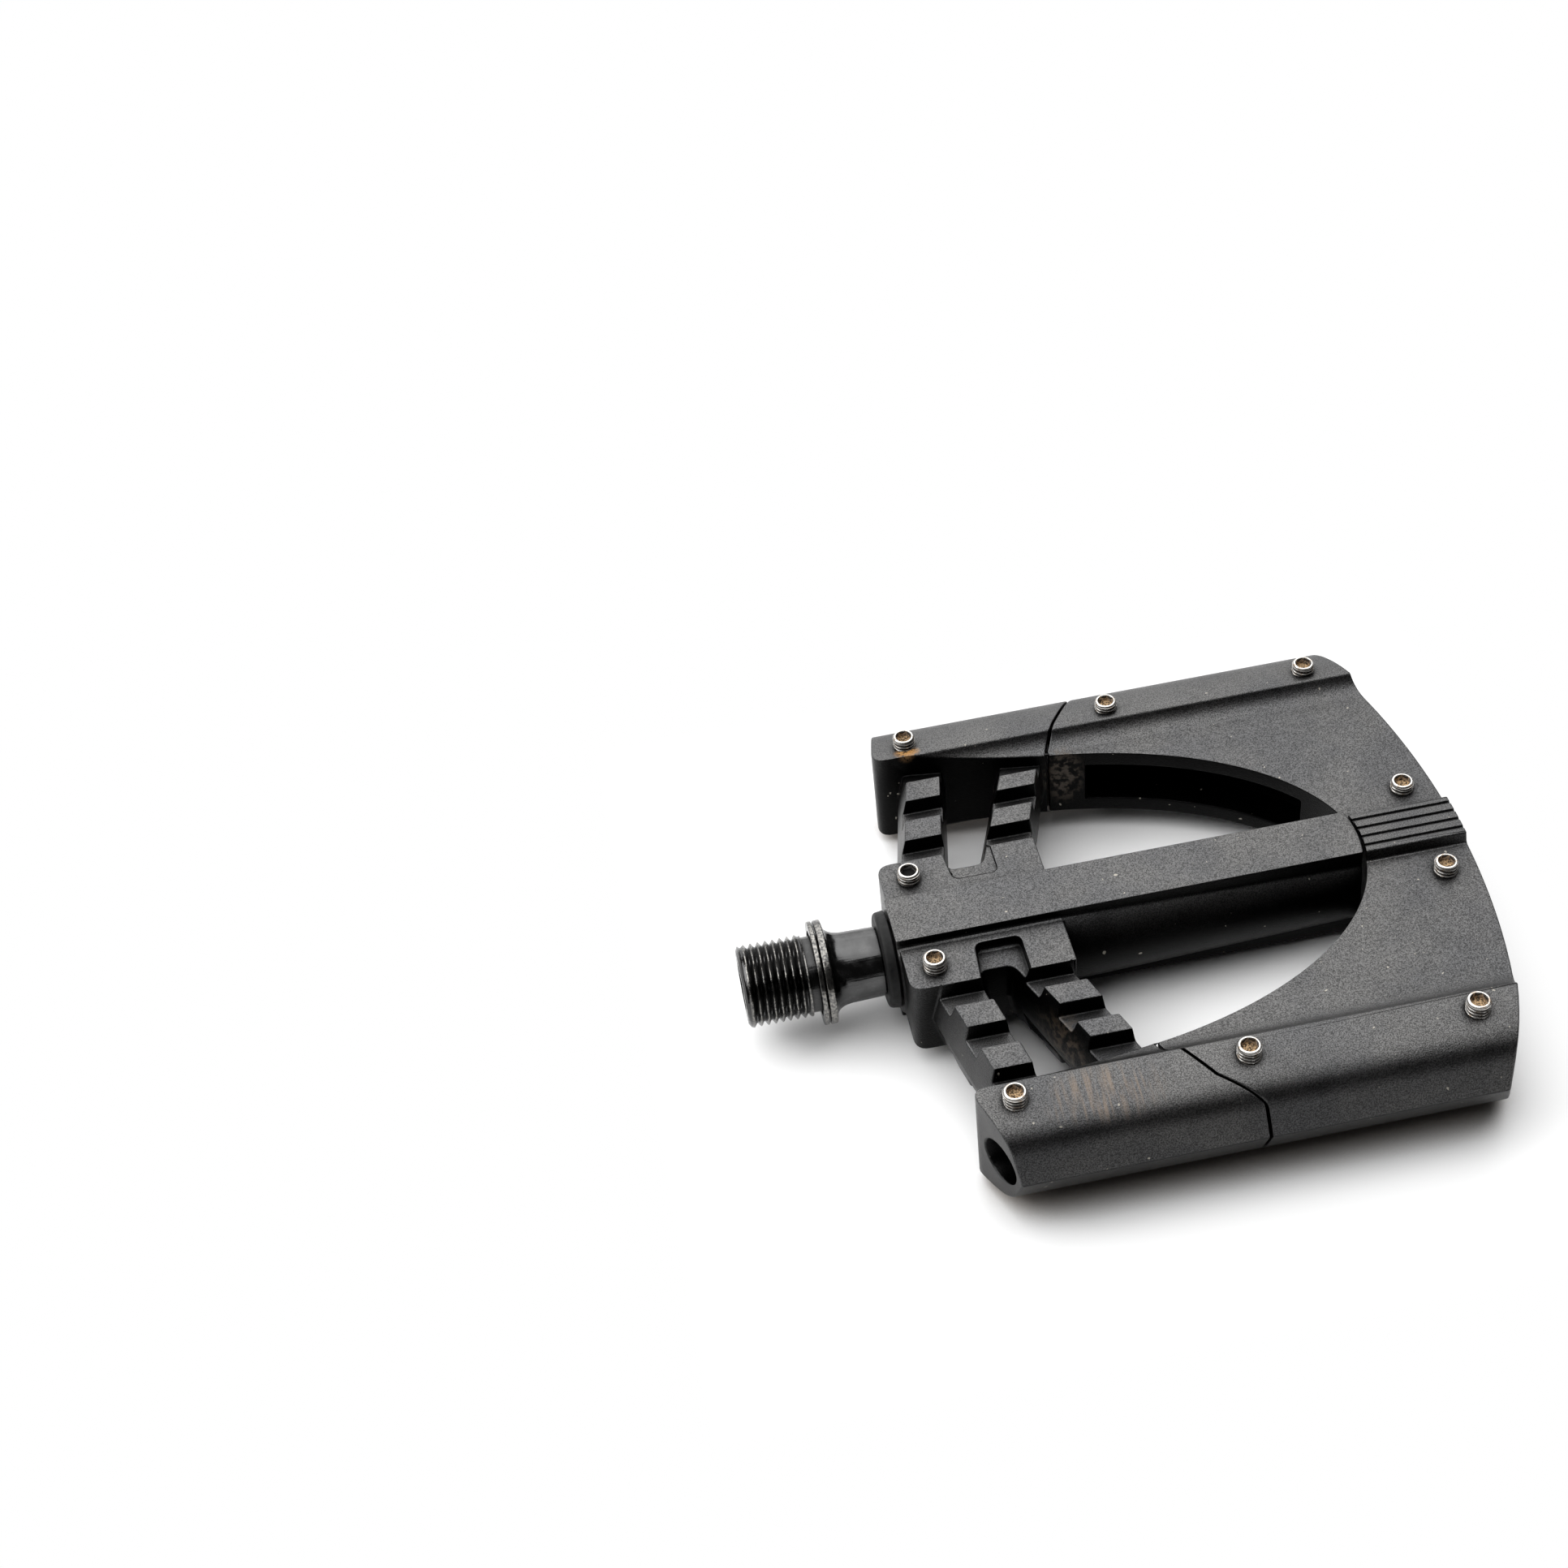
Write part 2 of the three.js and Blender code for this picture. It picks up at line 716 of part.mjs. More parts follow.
function spindle() {
  const rootRadius = threadRadius - threadDepth;
  const threadStartX = threadEndX + threadChamfer;
  const profile = [[threadEndX, 0], [threadEndX, rootRadius], [threadStartX, threadRadius]];
  for (let turn = 0; turn < threadTurns; turn += 1) {
    const crestX = threadStartX + (turn + 1) * threadPitch;
    profile.push([crestX - threadPitch / 2, rootRadius], [crestX, threadRadius]);
  }
  const threadStopX = threadStartX + threadTurns * threadPitch;
  const flangeBackX = flangeX + flangeThickness;
  profile.push([threadStopX + threadDepth, reliefRadius], [flangeX, reliefRadius]);
  profile.push([flangeX, flangeRadius - flangeEdge], [flangeX + flangeEdge, flangeRadius]);
  profile.push([flangeBackX - flangeEdge, flangeRadius], [flangeBackX, flangeRadius - flangeEdge]);
  const filletTop = point(flangeBackX, neckRadius + flangeFillet);
  const filletCorner = point(flangeBackX, neckRadius);
  const filletEnd = point(flangeBackX + flangeFilletLength, neckRadius);
  const fillet = new THREE.QuadraticBezierCurve(filletTop, filletCorner, filletEnd);
  fillet.getPoints(arcSteps).forEach((p) => profile.push([p.x, p.y]));
  const neckEndX = sealX - seatGap;
  profile.push([neckEndX, neckEndRadius], [neckEndX, journalRadius], [journalEndX, journalRadius]);
  profile.push([waistX, waistRadius], [bearingSeatX, waistRadius], [bearingSeatX, bearingBoreRadius]);
  const seatEndX = bearingX + bearingWidth;
  profile.push([seatEndX, bearingBoreRadius], [seatEndX, studRadius], [studEndX, studRadius], [studEndX, 0]);
  const keyHole = hexAlongX(hexKeyFlats, threadEndX - overrun, threadEndX + hexKeyDepth);
  return turned(profile, ringSides).subtract(keyHole);
}

const crankWasherEndX = flangeX - seatGap;
const crankWasherProfile = ringProfile(
  threadRadius + crankWasherPlay,
  flangeRadius,
  crankWasherEndX - crankWasherThickness,
  crankWasherEndX,
);

// Seal, bush and bearing

const sealProfile = [
  [sealX, bushInnerRadius],
  [sealX, sealRadius - sealEdge],
  [sealX + sealEdge, sealRadius],
  [sealBackX, sealRadius],
  [sealBackX, fittedRadius],
  [sealSpigotX, fittedRadius],
  [sealSpigotX, bushInnerRadius],
];
const bushProfile = ringProfile(bushInnerRadius, fittedRadius, bushX, bushSeatX - seatGap);

const bearingMiddleX = bearingX + bearingWidth / 2;
const inboardShieldX = bearingX + shieldInset;
const outboardShieldX = bearingX + bearingWidth - shieldInset - shieldThickness;
const innerRaceBore = bearingBoreRadius + seatGap;
const raceWall = (fittedRadius - innerRaceBore) * raceWallShare;
const innerRaceRadius = innerRaceBore + raceWall;
const outerRaceBore = fittedRadius - raceWall;
const ballCircle = (innerRaceRadius + outerRaceBore) / 2;

// A race: a ring with a round groove for the balls on the side that faces them
function raceProfile(plainRadius, grooveSideRadius) {
  const grooveRadius = ballRadius + raceGap;
  const side = Math.sign(grooveSideRadius - ballCircle);
  const halfAngle = Math.acos(Math.abs(grooveSideRadius - ballCircle) / grooveRadius);
  const groove = Array.from({ length: 2 * arcSteps + 1 }, (_, i) => {
    const angle = THREE.MathUtils.lerp(halfAngle, -halfAngle, i / (2 * arcSteps));
    return [
      bearingMiddleX + grooveRadius * Math.sin(angle),
      ballCircle + side * grooveRadius * Math.cos(angle),
    ];
  });
  return [
    [bearingX, plainRadius],
    [bearingX + bearingWidth, plainRadius],
    [bearingX + bearingWidth, grooveSideRadius],
    ...groove,
    [bearingX, grooveSideRadius],
  ];
}

const outerRaceProfile = raceProfile(fittedRadius, outerRaceBore);
const innerRaceProfile = raceProfile(innerRaceBore, innerRaceRadius);

// The balls and the thin cage that spaces them turn together
function ballRing() {
  const ring = turned(ringProfile(
    ballCircle - cageWall,
    ballCircle + cageWall,
    bearingMiddleX - cageHalfLength,
    bearingMiddleX + cageHalfLength,
  ), 2 * ballCount);
  const ball = new THREE.SphereGeometry(ballRadius, ballSides, ballRows);
  const balls = Array.from({ length: ballCount }, (_, i) => {
    const angle = (2 * Math.PI * i) / ballCount;
    const placed = ball.clone();
    placed.translate(bearingMiddleX, ballCircle * Math.cos(angle), ballCircle * Math.sin(angle));
    return toSolid(placed);
  });
  return joined([ring, ...balls]);
}

function shieldProfile(startX) {
  return ringProfile(
    innerRaceRadius + raceGap,
    outerRaceBore - raceGap,
    startX,
    startX + shieldThickness,
  );
}

// Lock washer, lock nut, end plug and its sealing ring

const studBore = studRadius + seatGap;
const lockWasherProfile = ringProfile(
  studBore,
  studBore + lockWasherRim,
  lockWasherX,
  lockWasherX + lockWasherThickness,
);

function lockNut() {
  const hole = rodAlongX(studBore, nutX - overrun, nutX + nutHeight + overrun, boreSides);
  return hexAlongX(nutFlats, nutX, nutX + nutHeight).subtract(hole);
}

const ringX = plugX + plugGrooveStart + seatGap + ringRadius;
const ringCircle = boreRadius - seatGap / 2 - ringRadius;

function endPlug() {
  const grooveRadius = ringCircle - ringRadius - seatGap;
  const grooveX = plugX + plugGrooveStart;
  const grooveEndX = ringX + ringRadius + seatGap;
  const body = turned([
    [plugX, 0],
    [plugX, fittedRadius],
    [grooveX, fittedRadius],
    [grooveX, grooveRadius],
    [grooveEndX, grooveRadius],
    [grooveEndX, fittedRadius],
    [plugEndX, fittedRadius],
    [plugEndX, 0],
  ], ringSides);
  return body.subtract(hexAlongX(plugKeyFlats, plugEndX - plugKeyDepth, plugEndX + overrun));
}

function sealingRingProfile() {
  return Array.from({ length: sealingRingSides }, (_, i) => {
    const angle = (2 * Math.PI * i) / sealingRingSides;
    return [ringX + ringRadius * Math.cos(angle), ringCircle + ringRadius * Math.sin(angle)];
  });
}

// Cage bolt on the spindle's axis, moved out to its own axis when it is placed
function cageBolt() {
  const headEndX = boltHeadSeatX - seatGap;
  const headX = headEndX - boltHeadHeight;
  const tipX = seamEndX + boltReach - 2 * seatGap;
  const body = turned([
    [headX, 0],
    [headX, boltHeadRadius],
    [headEndX, boltHeadRadius],
    [headEndX, boltRadius],
    [tipX, boltRadius],
    [tipX, 0],
  ], boreSides);
  return body.subtract(hexAlongX(boltKeyFlats, headX - overrun, headX + boltKeyDepth));
}

// Traction pin: a grub screw with its top at the origin and its key hole facing up
function tractionPin() {
  const profile = [
    [0, 0],
    [0, pinRadius - pinTopInset],
    [-pinChamfer, pinRadius],
    [-pinLength, pinRadius],
    [-pinLength, 0],
  ];
  const screw = turned(profile, pinSides);
  const geometry = toGeometry(screw.subtract(hexAlongX(pinKeyFlats, -pinKeyDepth, overrun)));
  geometry.rotateY(-Math.PI / 2);
  return geometry;
}

// Materials

const finish = (color, roughness, metalness) => ({ color, roughness, metalness });
const blackAlloy = finish(0x1d1d1f, 0.55, 0.35);
const blackSteel = finish(0x0e0e10, 0.32, 0.6);
const bareSteel = finish(0xa09a92, 0.35, 0.9);
const rubber = finish(0x101010, 0.6, 0);
const bronze = finish(0x8c6b3f, 0.5, 0.8);
const blackPlastic = finish(0x151515, 0.5, 0);

// Assembly

const frame = new THREE.Group();

function addMesh(name, geometry, look, place = [0, 0, 0]) {
  const mesh = new THREE.Mesh(geometry, new THREE.MeshStandardMaterial(look));
  mesh.name = name;
  mesh.position.set(...place);
  frame.add(mesh);
  return mesh;
}

addMesh('pedal_body', toGeometry(pedalBody()), blackAlloy);
addMesh('outer_cage', toGeometry(outerCage()), blackAlloy);
addMesh('spindle', toGeometry(spindle()), blackSteel);
addMesh('crank_washer', turnedGeometry(crankWasherProfile, ringSides), blackSteel);
addMesh('spindle_seal', turnedGeometry(sealProfile, ringSides), rubber);
addMesh('spindle_bush', turnedGeometry(bushProfile, ringSides), bronze);
addMesh('bearing_outer_race', turnedGeometry(outerRaceProfile, ringSides), bareSteel);
addMesh('bearing_inner_race', turnedGeometry(innerRaceProfile, ringSides), bareSteel);
addMesh('bearing_ball_ring', toGeometry(ballRing()), bareSteel);
addMesh('bearing_shield_inboard', turnedGeometry(shieldProfile(inboardShieldX), ringSides), rubber);
addMesh('bearing_shield_outboard', turnedGeometry(shieldProfile(outboardShieldX), ringSides), rubber);
addMesh('lock_washer', turnedGeometry(lockWasherProfile, boreSides), bareSteel);
addMesh('lock_nut', toGeometry(lockNut()), bareSteel);
addMesh('end_plug', toGeometry(endPlug()), blackPlastic);
addMesh('end_plug_ring', turnedGeometry(sealingRingProfile(), ringSides), rubber);

for (const [side, sign] of [['near', -1], ['far', 1]]) {
  addMesh(`cage_bolt_${side}`, toGeometry(cageBolt()), blackSteel, [0, sign * boltY, 0]);
}

const pinGeometry = tractionPin();
for (const place of pinPlaces) {
  const height = place.surface + pinStand;
  addMesh(`pin_${place.name}_top`, pinGeometry, bareSteel, [place.x, place.y, height]);
  const lower = addMesh(`pin_${place.name}_bottom`, pinGeometry, bareSteel, [place.x, place.y, -height]);
  lower.rotation.x = Math.PI;
}

// The middle of the whole pedal is the origin
const pedal = new THREE.Group();
frame.position.x = -(threadEndX + rimX) / 2;
pedal.add(frame);

export default pedal;
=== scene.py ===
import json
import math
import random

import bmesh
import bpy
from mathutils import Matrix, Vector


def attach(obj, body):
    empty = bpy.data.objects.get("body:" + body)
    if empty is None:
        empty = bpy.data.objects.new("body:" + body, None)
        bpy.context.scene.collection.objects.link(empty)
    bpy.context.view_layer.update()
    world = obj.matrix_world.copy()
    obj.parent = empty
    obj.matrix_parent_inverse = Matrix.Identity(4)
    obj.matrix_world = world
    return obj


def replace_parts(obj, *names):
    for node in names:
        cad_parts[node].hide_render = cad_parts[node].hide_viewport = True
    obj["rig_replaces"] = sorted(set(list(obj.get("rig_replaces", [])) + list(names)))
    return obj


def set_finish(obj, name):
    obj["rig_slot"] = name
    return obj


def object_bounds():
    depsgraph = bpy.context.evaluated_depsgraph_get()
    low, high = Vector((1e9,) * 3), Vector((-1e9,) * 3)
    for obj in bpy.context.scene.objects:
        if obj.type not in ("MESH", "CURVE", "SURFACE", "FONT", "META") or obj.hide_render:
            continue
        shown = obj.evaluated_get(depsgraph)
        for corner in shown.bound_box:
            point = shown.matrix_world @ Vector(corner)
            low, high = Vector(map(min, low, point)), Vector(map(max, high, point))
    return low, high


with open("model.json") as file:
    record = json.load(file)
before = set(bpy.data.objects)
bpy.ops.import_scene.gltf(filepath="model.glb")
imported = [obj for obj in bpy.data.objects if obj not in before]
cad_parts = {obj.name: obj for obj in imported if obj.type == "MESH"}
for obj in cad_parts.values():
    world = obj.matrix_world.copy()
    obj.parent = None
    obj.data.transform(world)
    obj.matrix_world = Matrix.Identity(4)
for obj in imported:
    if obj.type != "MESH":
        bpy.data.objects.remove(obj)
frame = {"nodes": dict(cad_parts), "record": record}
cad_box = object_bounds()

# A flat pedal's detailed look, drawn in millimetres. x = 0 is the first row of pins, y = z = 0 is the
# spindle's axis, and place() moves everything to the middle of the pedal and to metres.
MIDDLE_X = 25.15
MM = 0.001

# Platform
HALF_WIDTH = 52.3
RIM_X = 88.1
RIM_RADIUS = 155.0
RIM_CORNER_DROP = 1.5
RIM_CORNER_POWER = 7
DECK_Z = 7.1
SLOPE_FOOT_Y = 34.5
RIDGE_Y = 39.0
RIDGE_Z = 9.65
SHOULDER_Y = 49.0
SHOULDER_Z = 7.0
SHOULDER_ROUND = 2.2
COVE_SHARES = (0.644, 0.04)
CROWN_SHARES = (0.6, 0.2)
SIDE_SHARES = (0.13, 0.036)

# Ribbed pad in the middle of the rim
RIB_PAD_HALF = 4.55
RIB_PAD_Z = 9.0
RIB_PAD_FOOT = 0.7
RIB_PITCH = 2.08
GROOVE_WIDTH = 0.85
GROOVE_DEPTH = 0.5
GROOVES_PER_SIDE = 2

# Arch of the cage and the hollows in its walls
ARCH_X = 10.0
ARCH_LENGTH = 60.8
ARCH_HALF = 36.0
HOLLOW_DEPTH_X = 6.0
HOLLOW_DEPTH_Y = 7.0
HOLLOW_START_X = 31.5
HOLLOW_END_Y = 14.7
HOLLOW_HALF_HEIGHT = 4.1

# Joint between the end blocks and the cage
SEAM_START_X = 24.8
SEAM_GAP = 0.42
NEAR_SEAM = {
    "length": 13.8,
    "shares": ((0, 0), (0.05, 0.139), (0.21, 0.225), (0.514, 0.561), (0.819, 0.751), (0.978, 0.85), (1, 1)),
}
FAR_SEAM = {
    "length": 8.4,
    "shares": (
        (0, 0), (0.01, 0.057), (0.14, 0.178), (0.31, 0.339), (0.55, 0.523), (0.74, 0.667), (0.9, 0.8), (1, 1),
    ),
}

# End blocks
BLOCK_END_X = -6.8
BLOCK_KNEE_X = 0.0
BLOCK_CORNER_RADIUS = 3.0
NEAR_SLANT_SHARE = 0.4
FAR_SLANT_SHARE = 0.18

# Hub block, barrel and strip
HUB_X = -10.9
HUB_FRONT_X = 17.2
HUB_HALF = 14.9
HUB_CORNER_RADIUS = 2.5
PAD_Z = 7.7
STRIP_HALF = 5.1
STRIP_Z = 9.5
BARREL_X = -11.4
BARREL_ROOT_RADIUS = 9.5
BARREL_TIP_RADIUS = 8.0
BARREL_TIP_X = 70.8
BARREL_GAP = 0.6

# Arms: x of each edge at the hub and at the ridge, and the shares of the way out at which steps begin
ARM_ROOT_Y = 11.0
NOTCH_FLOOR_Z = 4.8
NOTCH_DRAFT = 0.35
ARM_LEAN_INBOARD = 1.85
ARM_LEAN_OUTBOARD = 0.8
ARMS = (
    {"inboard": (-5.8, -0.5), "outboard": (0.95, 5.7), "land_shares": (0.2, 0.407, 0.606, 0.809)},
    {"inboard": (8.8, 17.9), "outboard": (16.2, 24.6), "land_shares": (0.183, 0.361, 0.539, 0.693)},
)

# Windows and recesses in the hub block
WINDOW_START_Y = 11.1
WINDOW_LEAN = 1.9
WINDOW_CORNER_RADIUS = 1.4
DEEP_RECESS = {"start_y": 7.1, "depth": 2.0}
SHALLOW_RECESS = {"start_y": 8.4, "depth": 0.4}
RECESS_SLANT = 0.08
RECESS_LEDGE = 0.6

# Bores and bolts
BORE_RADIUS = 7.0
MID_BORE_RADIUS = 6.0
BUSH_SEAT_X = 10.3
BEARING_SEAT_X = 45.3
BOLT_Y = 46.6
COUNTERBORE_RADIUS = 3.9
BOLT_SEAT_X = 12.0
BOLT_HEAD_RADIUS = 3.5
BOLT_HEAD_HEIGHT = 4.0
BOLT_HEAD_EDGE = 0.4375
BOLT_RADIUS = 2.0
BOLT_END_X = 50.0
BOLT_KEY_FLATS = 3.0
BOLT_KEY_DEPTH = 2.0

# Spindle, washer and seal
THREAD_END_X = -37.8
THREAD_RADIUS = 7.144
THREAD_DEPTH = 0.78
THREAD_PITCH = 1.27
THREAD_LENGTH = 11.2
THREAD_FADE = 1.0
THREAD_ROOT_SHARE = 0.08
THREAD_FLANK_SHARE = 0.8
THREAD_END_SHARE = 0.35
THREAD_CHAMFER = 0.8
RELIEF_RADIUS = 6.55
FLANGE_X = -24.0
FLANGE_THICKNESS = 1.3
FLANGE_RADIUS = 9.0
FLANGE_EDGE = 0.3
FLANGE_FILLET = 2.5
FLANGE_FILLET_LENGTH = 3.6
NECK_RADIUS = 6.15
NECK_END_RADIUS = 6.0
JOURNAL_RADIUS = 5.5
SEAL_X = -13.6
SEAL_RADIUS = 8.45
SEAL_EDGE = 0.9
SEAL_TAPER = 0.12
SEAL_BORE = 5.7
SEAL_LIP = 2.0
STUD_RADIUS = 3.0
STUD_END_X = 58.6
JOURNAL_END_X = 12.0
WAIST_X = 42.9
WAIST_RADIUS = 4.5
BEARING_BORE_RADIUS = 3.5
BEARING_END_X = 50.5
HEX_KEY_FLATS = 8.0
HEX_KEY_DEPTH = 8.0
WASHER_THICKNESS = 0.8
WASHER_EDGE = 0.2
WASHER_BORE = 7.4

# Traction pins
PIN_RADIUS = 2.0
PIN_THREAD_DEPTH = 0.38
PIN_PITCH = 0.7
PIN_THREAD_FADE = 0.2
PIN_STANDS = {
    "near_rail_inboard": 2.2,
    "near_rail_middle": 2.26,
    "near_rail_outboard": 2.26,
    "near_rim": 2.15,
    "near_hub": 2.4,
    "far_rail_inboard": 2.26,
    "far_rail_middle": 1.75,
    "far_rail_outboard": 1.9,
    "far_rim": 1.75,
    "far_hub": 2.0,
}
PIN_LENGTH = 7.2
PIN_THREAD_START = 0.36
PIN_RING_RADIUS = 1.84
PIN_TOP_RADIUS = 1.62
PIN_CHAMFER = 0.3
PIN_KEY_FLATS = 2.5
PIN_KEY_DEPTH = 1.15
PIN_CREST_DARK = 0.3
PIN_MOUTH_RADIUS = 1.46
PIN_MOUTH_DEPTH = 0.3
PIN_HOLE_RADIUS = 2.05
PIN_TURN_SEED = 7
RAIL_PIN_Y = 42.4
RAIL_PIN_ROWS = {"inboard": 0.0, "middle": 37.7, "outboard": 75.0}
RIM_PIN = (82.2, 10.4)
HUB_PIN = (-5.9, 10.6)

# Rounding of edges, merging of points, and how finely curves are divided
EDGE_RADIUS = 0.32
EDGE_ANGLE = math.radians(32)
EDGE_SEGMENTS = 2
WELD_DISTANCE = 1e-5
MERGE_DISTANCE = 2e-3
FLAT_ANGLE = math.radians(0.6)
SMOOTH_ANGLE = math.radians(38)
SECTION_STEPS = 10
RIM_STEPS = 48
ARCH_STEPS = 96
HOLLOW_STEPS = 36
CORNER_STEPS = 6
FILLET_STEPS = 14
GROOVE_STEPS = 10
ROUND_SIDES = 96
BORE_SIDES = 48
SPINDLE_SIDES = 72
PIN_SIDES = 36
ROWS_PER_PITCH = 8
HEX_SIDES = 6

# How far cuts run past what they cut, and the gap between pieces that turn or fit
OVERRUN = 2.0
CLEARANCE = 0.25


# Numbers and outlines


def lerp(a, b, share):
    return a + (b - a) * share


def map_linear(x, a, b, low, high):
    return lerp(low, high, (x - a) / (b - a))


def curve(start, control, end, steps):
    points = []
    for i in range(steps + 1):
        t = i / steps
        weights = ((1 - t) ** 2, 2 * t * (1 - t), t ** 2)
        points.append(tuple(sum(w * p[k] for w, p in zip(weights, (start, control, end))) for k in (0, 1)))
    return points


def sweep(start, end, shares):
    control = (lerp(start[0], end[0], shares[0]), lerp(start[1], end[1], shares[1]))
    return curve(start, control, end, SECTION_STEPS)


def rounded_corner(before, corner, after, radius):
    ends = []
    for other in (before, after):
        away = Vector(other) - Vector(corner)
        ends.append(tuple(Vector(corner) + away.normalized() * radius))
    return curve(ends[0], corner, ends[1], CORNER_STEPS)


def rounded_outline(corners, radii):
    points = []
    for i, (corner, radius) in enumerate(zip(corners, radii)):
        if radius > 0:
            points += rounded_corner(corners[i - 1], corner, corners[(i + 1) % len(corners)], radius)
        else:
            points.append(corner)
    return points


def box_corners(half_width, half_height):
    return [
        (-half_width, -half_height),
        (half_width, -half_height),
        (half_width, half_height),
        (-half_width, half_height),
    ]


def mirrored(points):
    return [(x, -y) for x, y in reversed(list(points))]


def ellipse_point(length, half, angle):
    return (ARCH_X + length * math.cos(angle), half * math.sin(angle))


def angle_at_x(length, x):
    return math.acos((x - ARCH_X) / length)


def ellipse_arc(length, half, start, end, steps):
    return [ellipse_point(length, half, lerp(start, end, i / steps)) for i in range(steps + 1)]


def rail_surface():
    foot = (SLOPE_FOOT_Y, DECK_Z)
    ridge = (RIDGE_Y, RIDGE_Z)
    shoulder = (SHOULDER_Y, SHOULDER_Z)
    edge = (HALF_WIDTH, 0)
    cove = sweep(foot, ridge, COVE_SHARES)
    crown = sweep(ridge, shoulder, CROWN_SHARES)
    side = sweep(shoulder, edge, SIDE_SHARES)
    before = [p for p in crown if math.dist(p, shoulder) > SHOULDER_ROUND]
    after = [p for p in side if math.dist(p, shoulder) > SHOULDER_ROUND]
    bend = rounded_corner(before[-1], shoulder, after[0], SHOULDER_ROUND)
    return cove + before[1:] + bend + after


def rail_height(y):
    surface = rail_surface()
    i = next(i for i, p in enumerate(surface) if p[0] > y)
    (y0, z0), (y1, z1) = surface[i - 1], surface[i]
    return map_linear(y, y0, y1, z0, z1)


def ribbed_surface():
    points = [(0, RIB_PAD_Z)]
    for i in range(GROOVES_PER_SIDE):
        middle = (i + 0.5) * RIB_PITCH
        for step in range(GROOVE_STEPS + 1):
            share = step / GROOVE_STEPS - 0.5
            dip = 0.5 + 0.5 * math.cos(2 * math.pi * share)
            points.append((middle + share * GROOVE_WIDTH, RIB_PAD_Z - GROOVE_DEPTH * dip))
    points.append((RIB_PAD_HALF, RIB_PAD_Z))
    points.append((RIB_PAD_HALF + RIB_PAD_FOOT, DECK_Z))
    return points


def platform_section():
    quarter = ribbed_surface() + rail_surface()
    upper = list(reversed(quarter)) + [(-y, z) for y, z in quarter[1:]]
    lower = [(y, -z) for y, z in reversed(upper)]
    return upper + lower[1:-1]


def seam(length, shares, shift):
    """A seam drawn on the far side and moved along x by half of its gap."""
    start_y = ellipse_point(ARCH_LENGTH, ARCH_HALF, angle_at_x(ARCH_LENGTH, SEAM_START_X))[1]
    start_x = SEAM_START_X + shift
    return [(start_x + length * along, lerp(start_y, HALF_WIDTH, across)) for along, across in shares]


def rim_point(y):
    arc = RIM_RADIUS - math.sqrt(RIM_RADIUS ** 2 - y ** 2)
    return (RIM_X - arc - RIM_CORNER_DROP * abs(y / HALF_WIDTH) ** RIM_CORNER_POWER, y)


# Solids, in millimetres


def new_object(name, mesh):
    piece = bpy.data.objects.new(name, mesh)
    bpy.context.scene.collection.objects.link(piece)
    return piece


def solid(name, vertices, faces):
    mesh = bpy.data.meshes.new(name)
    mesh.from_pydata(vertices, [], faces)
    work = bmesh.new()
    work.from_mesh(mesh)
    bmesh.ops.remove_doubles(work, verts=work.verts, dist=WELD_DISTANCE)
    bmesh.ops.recalc_face_normals(work, faces=work.faces)
    work.to_mesh(mesh)
    work.free()
    return new_object(name, mesh)


def layered(name, rings):
    """A closed body through rings of the same number of points, from the first to the last."""
    count = len(rings[0])
    vertices = [p for ring in rings for p in ring]
    faces = [tuple(range(count)), tuple(range(len(vertices) - count, len(vertices)))]
    for row in range(len(rings) - 1):
        base = row * count
        for i in range(count):
            j = (i + 1) % count
            faces.append((base + i, base + j, base + count + j, base + count + i))
    return solid(name, vertices, faces)


def plate(outline, low, high):
    return layered("plate", [[(x, y, z) for x, y in outline] for z in (low, high)])


def bar(section, start, end):
    return layered("bar", [[(x, y, z) for y, z in section] for x in (start, end)])


def revolved(rows, sides):
    """A body round the spindle's axis. Each row is x and a radius, or x and a function of the angle."""
    rings = []
    for x, radius in rows:
        ring = []
        for i in range(sides):
            angle = 2 * math.pi * i / sides
            r = radius(angle) if callable(radius) else radius
            ring.append((x, r * math.cos(angle), r * math.sin(angle)))
        rings.append(ring)
    return layered("revolved", rings)


def rod(radius, start, end, sides=BORE_SIDES):
    return revolved([(start, radius), (end, radius)], sides)


def hexagon(flats, start, end):
    return rod(flats / 2 / math.cos(math.pi / HEX_SIDES), start, end, HEX_SIDES)


def tube(profile, bore):
    """A ring about the axis: an outer profile of x and radius, and a plain bore."""
    outer = revolved(profile, ROUND_SIDES)
    return cut(outer, [rod(bore, profile[0][0] - OVERRUN, profile[-1][0] + OVERRUN, ROUND_SIDES)])


def settle(piece):
    """The piece's mesh with its modifiers made part of it."""
    graph = bpy.context.evaluated_depsgraph_get()
    mesh = bpy.data.meshes.new_from_object(piece.evaluated_get(graph))
    piece.modifiers.clear()
    old = piece.data
    piece.data = mesh
    bpy.data.meshes.remove(old)
    return piece


def combine(piece, tools, operation):
    for tool in tools:
        modifier = piece.modifiers.new("combine", "BOOLEAN")
        modifier.operation = operation
        modifier.solver = "MANIFOLD"
        modifier.object = tool
        settle(piece)
        bpy.data.objects.remove(tool)
    return piece


def joined(pieces):
    return combine(pieces[0], pieces[1:], "UNION")


def cut(piece, tools):
    return combine(piece, tools, "DIFFERENCE")


def common(piece, other):
    return combine(piece, [other], "INTERSECT")


def changed(piece, matrix):
    """The piece itself, moved, turned or mirrored."""
    piece.data.transform(matrix)
    if matrix.determinant() < 0:
        piece.data.flip_normals()
    return piece


def copied(piece, matrix):
    return changed(new_object(piece.name, piece.data.copy()), matrix)


def moved(piece, x=0.0, y=0.0, z=0.0):
    return changed(piece, Matrix.Translation((x, y, z)))


MIRROR_Y = Matrix.Diagonal((1, -1, 1, 1))
MIRROR_Z = Matrix.Diagonal((1, 1, -1, 1))
HALF_TURN_X = Matrix.Rotation(math.pi, 4, "X")
UPRIGHT = Matrix.Rotation(-math.pi / 2, 4, "Y")


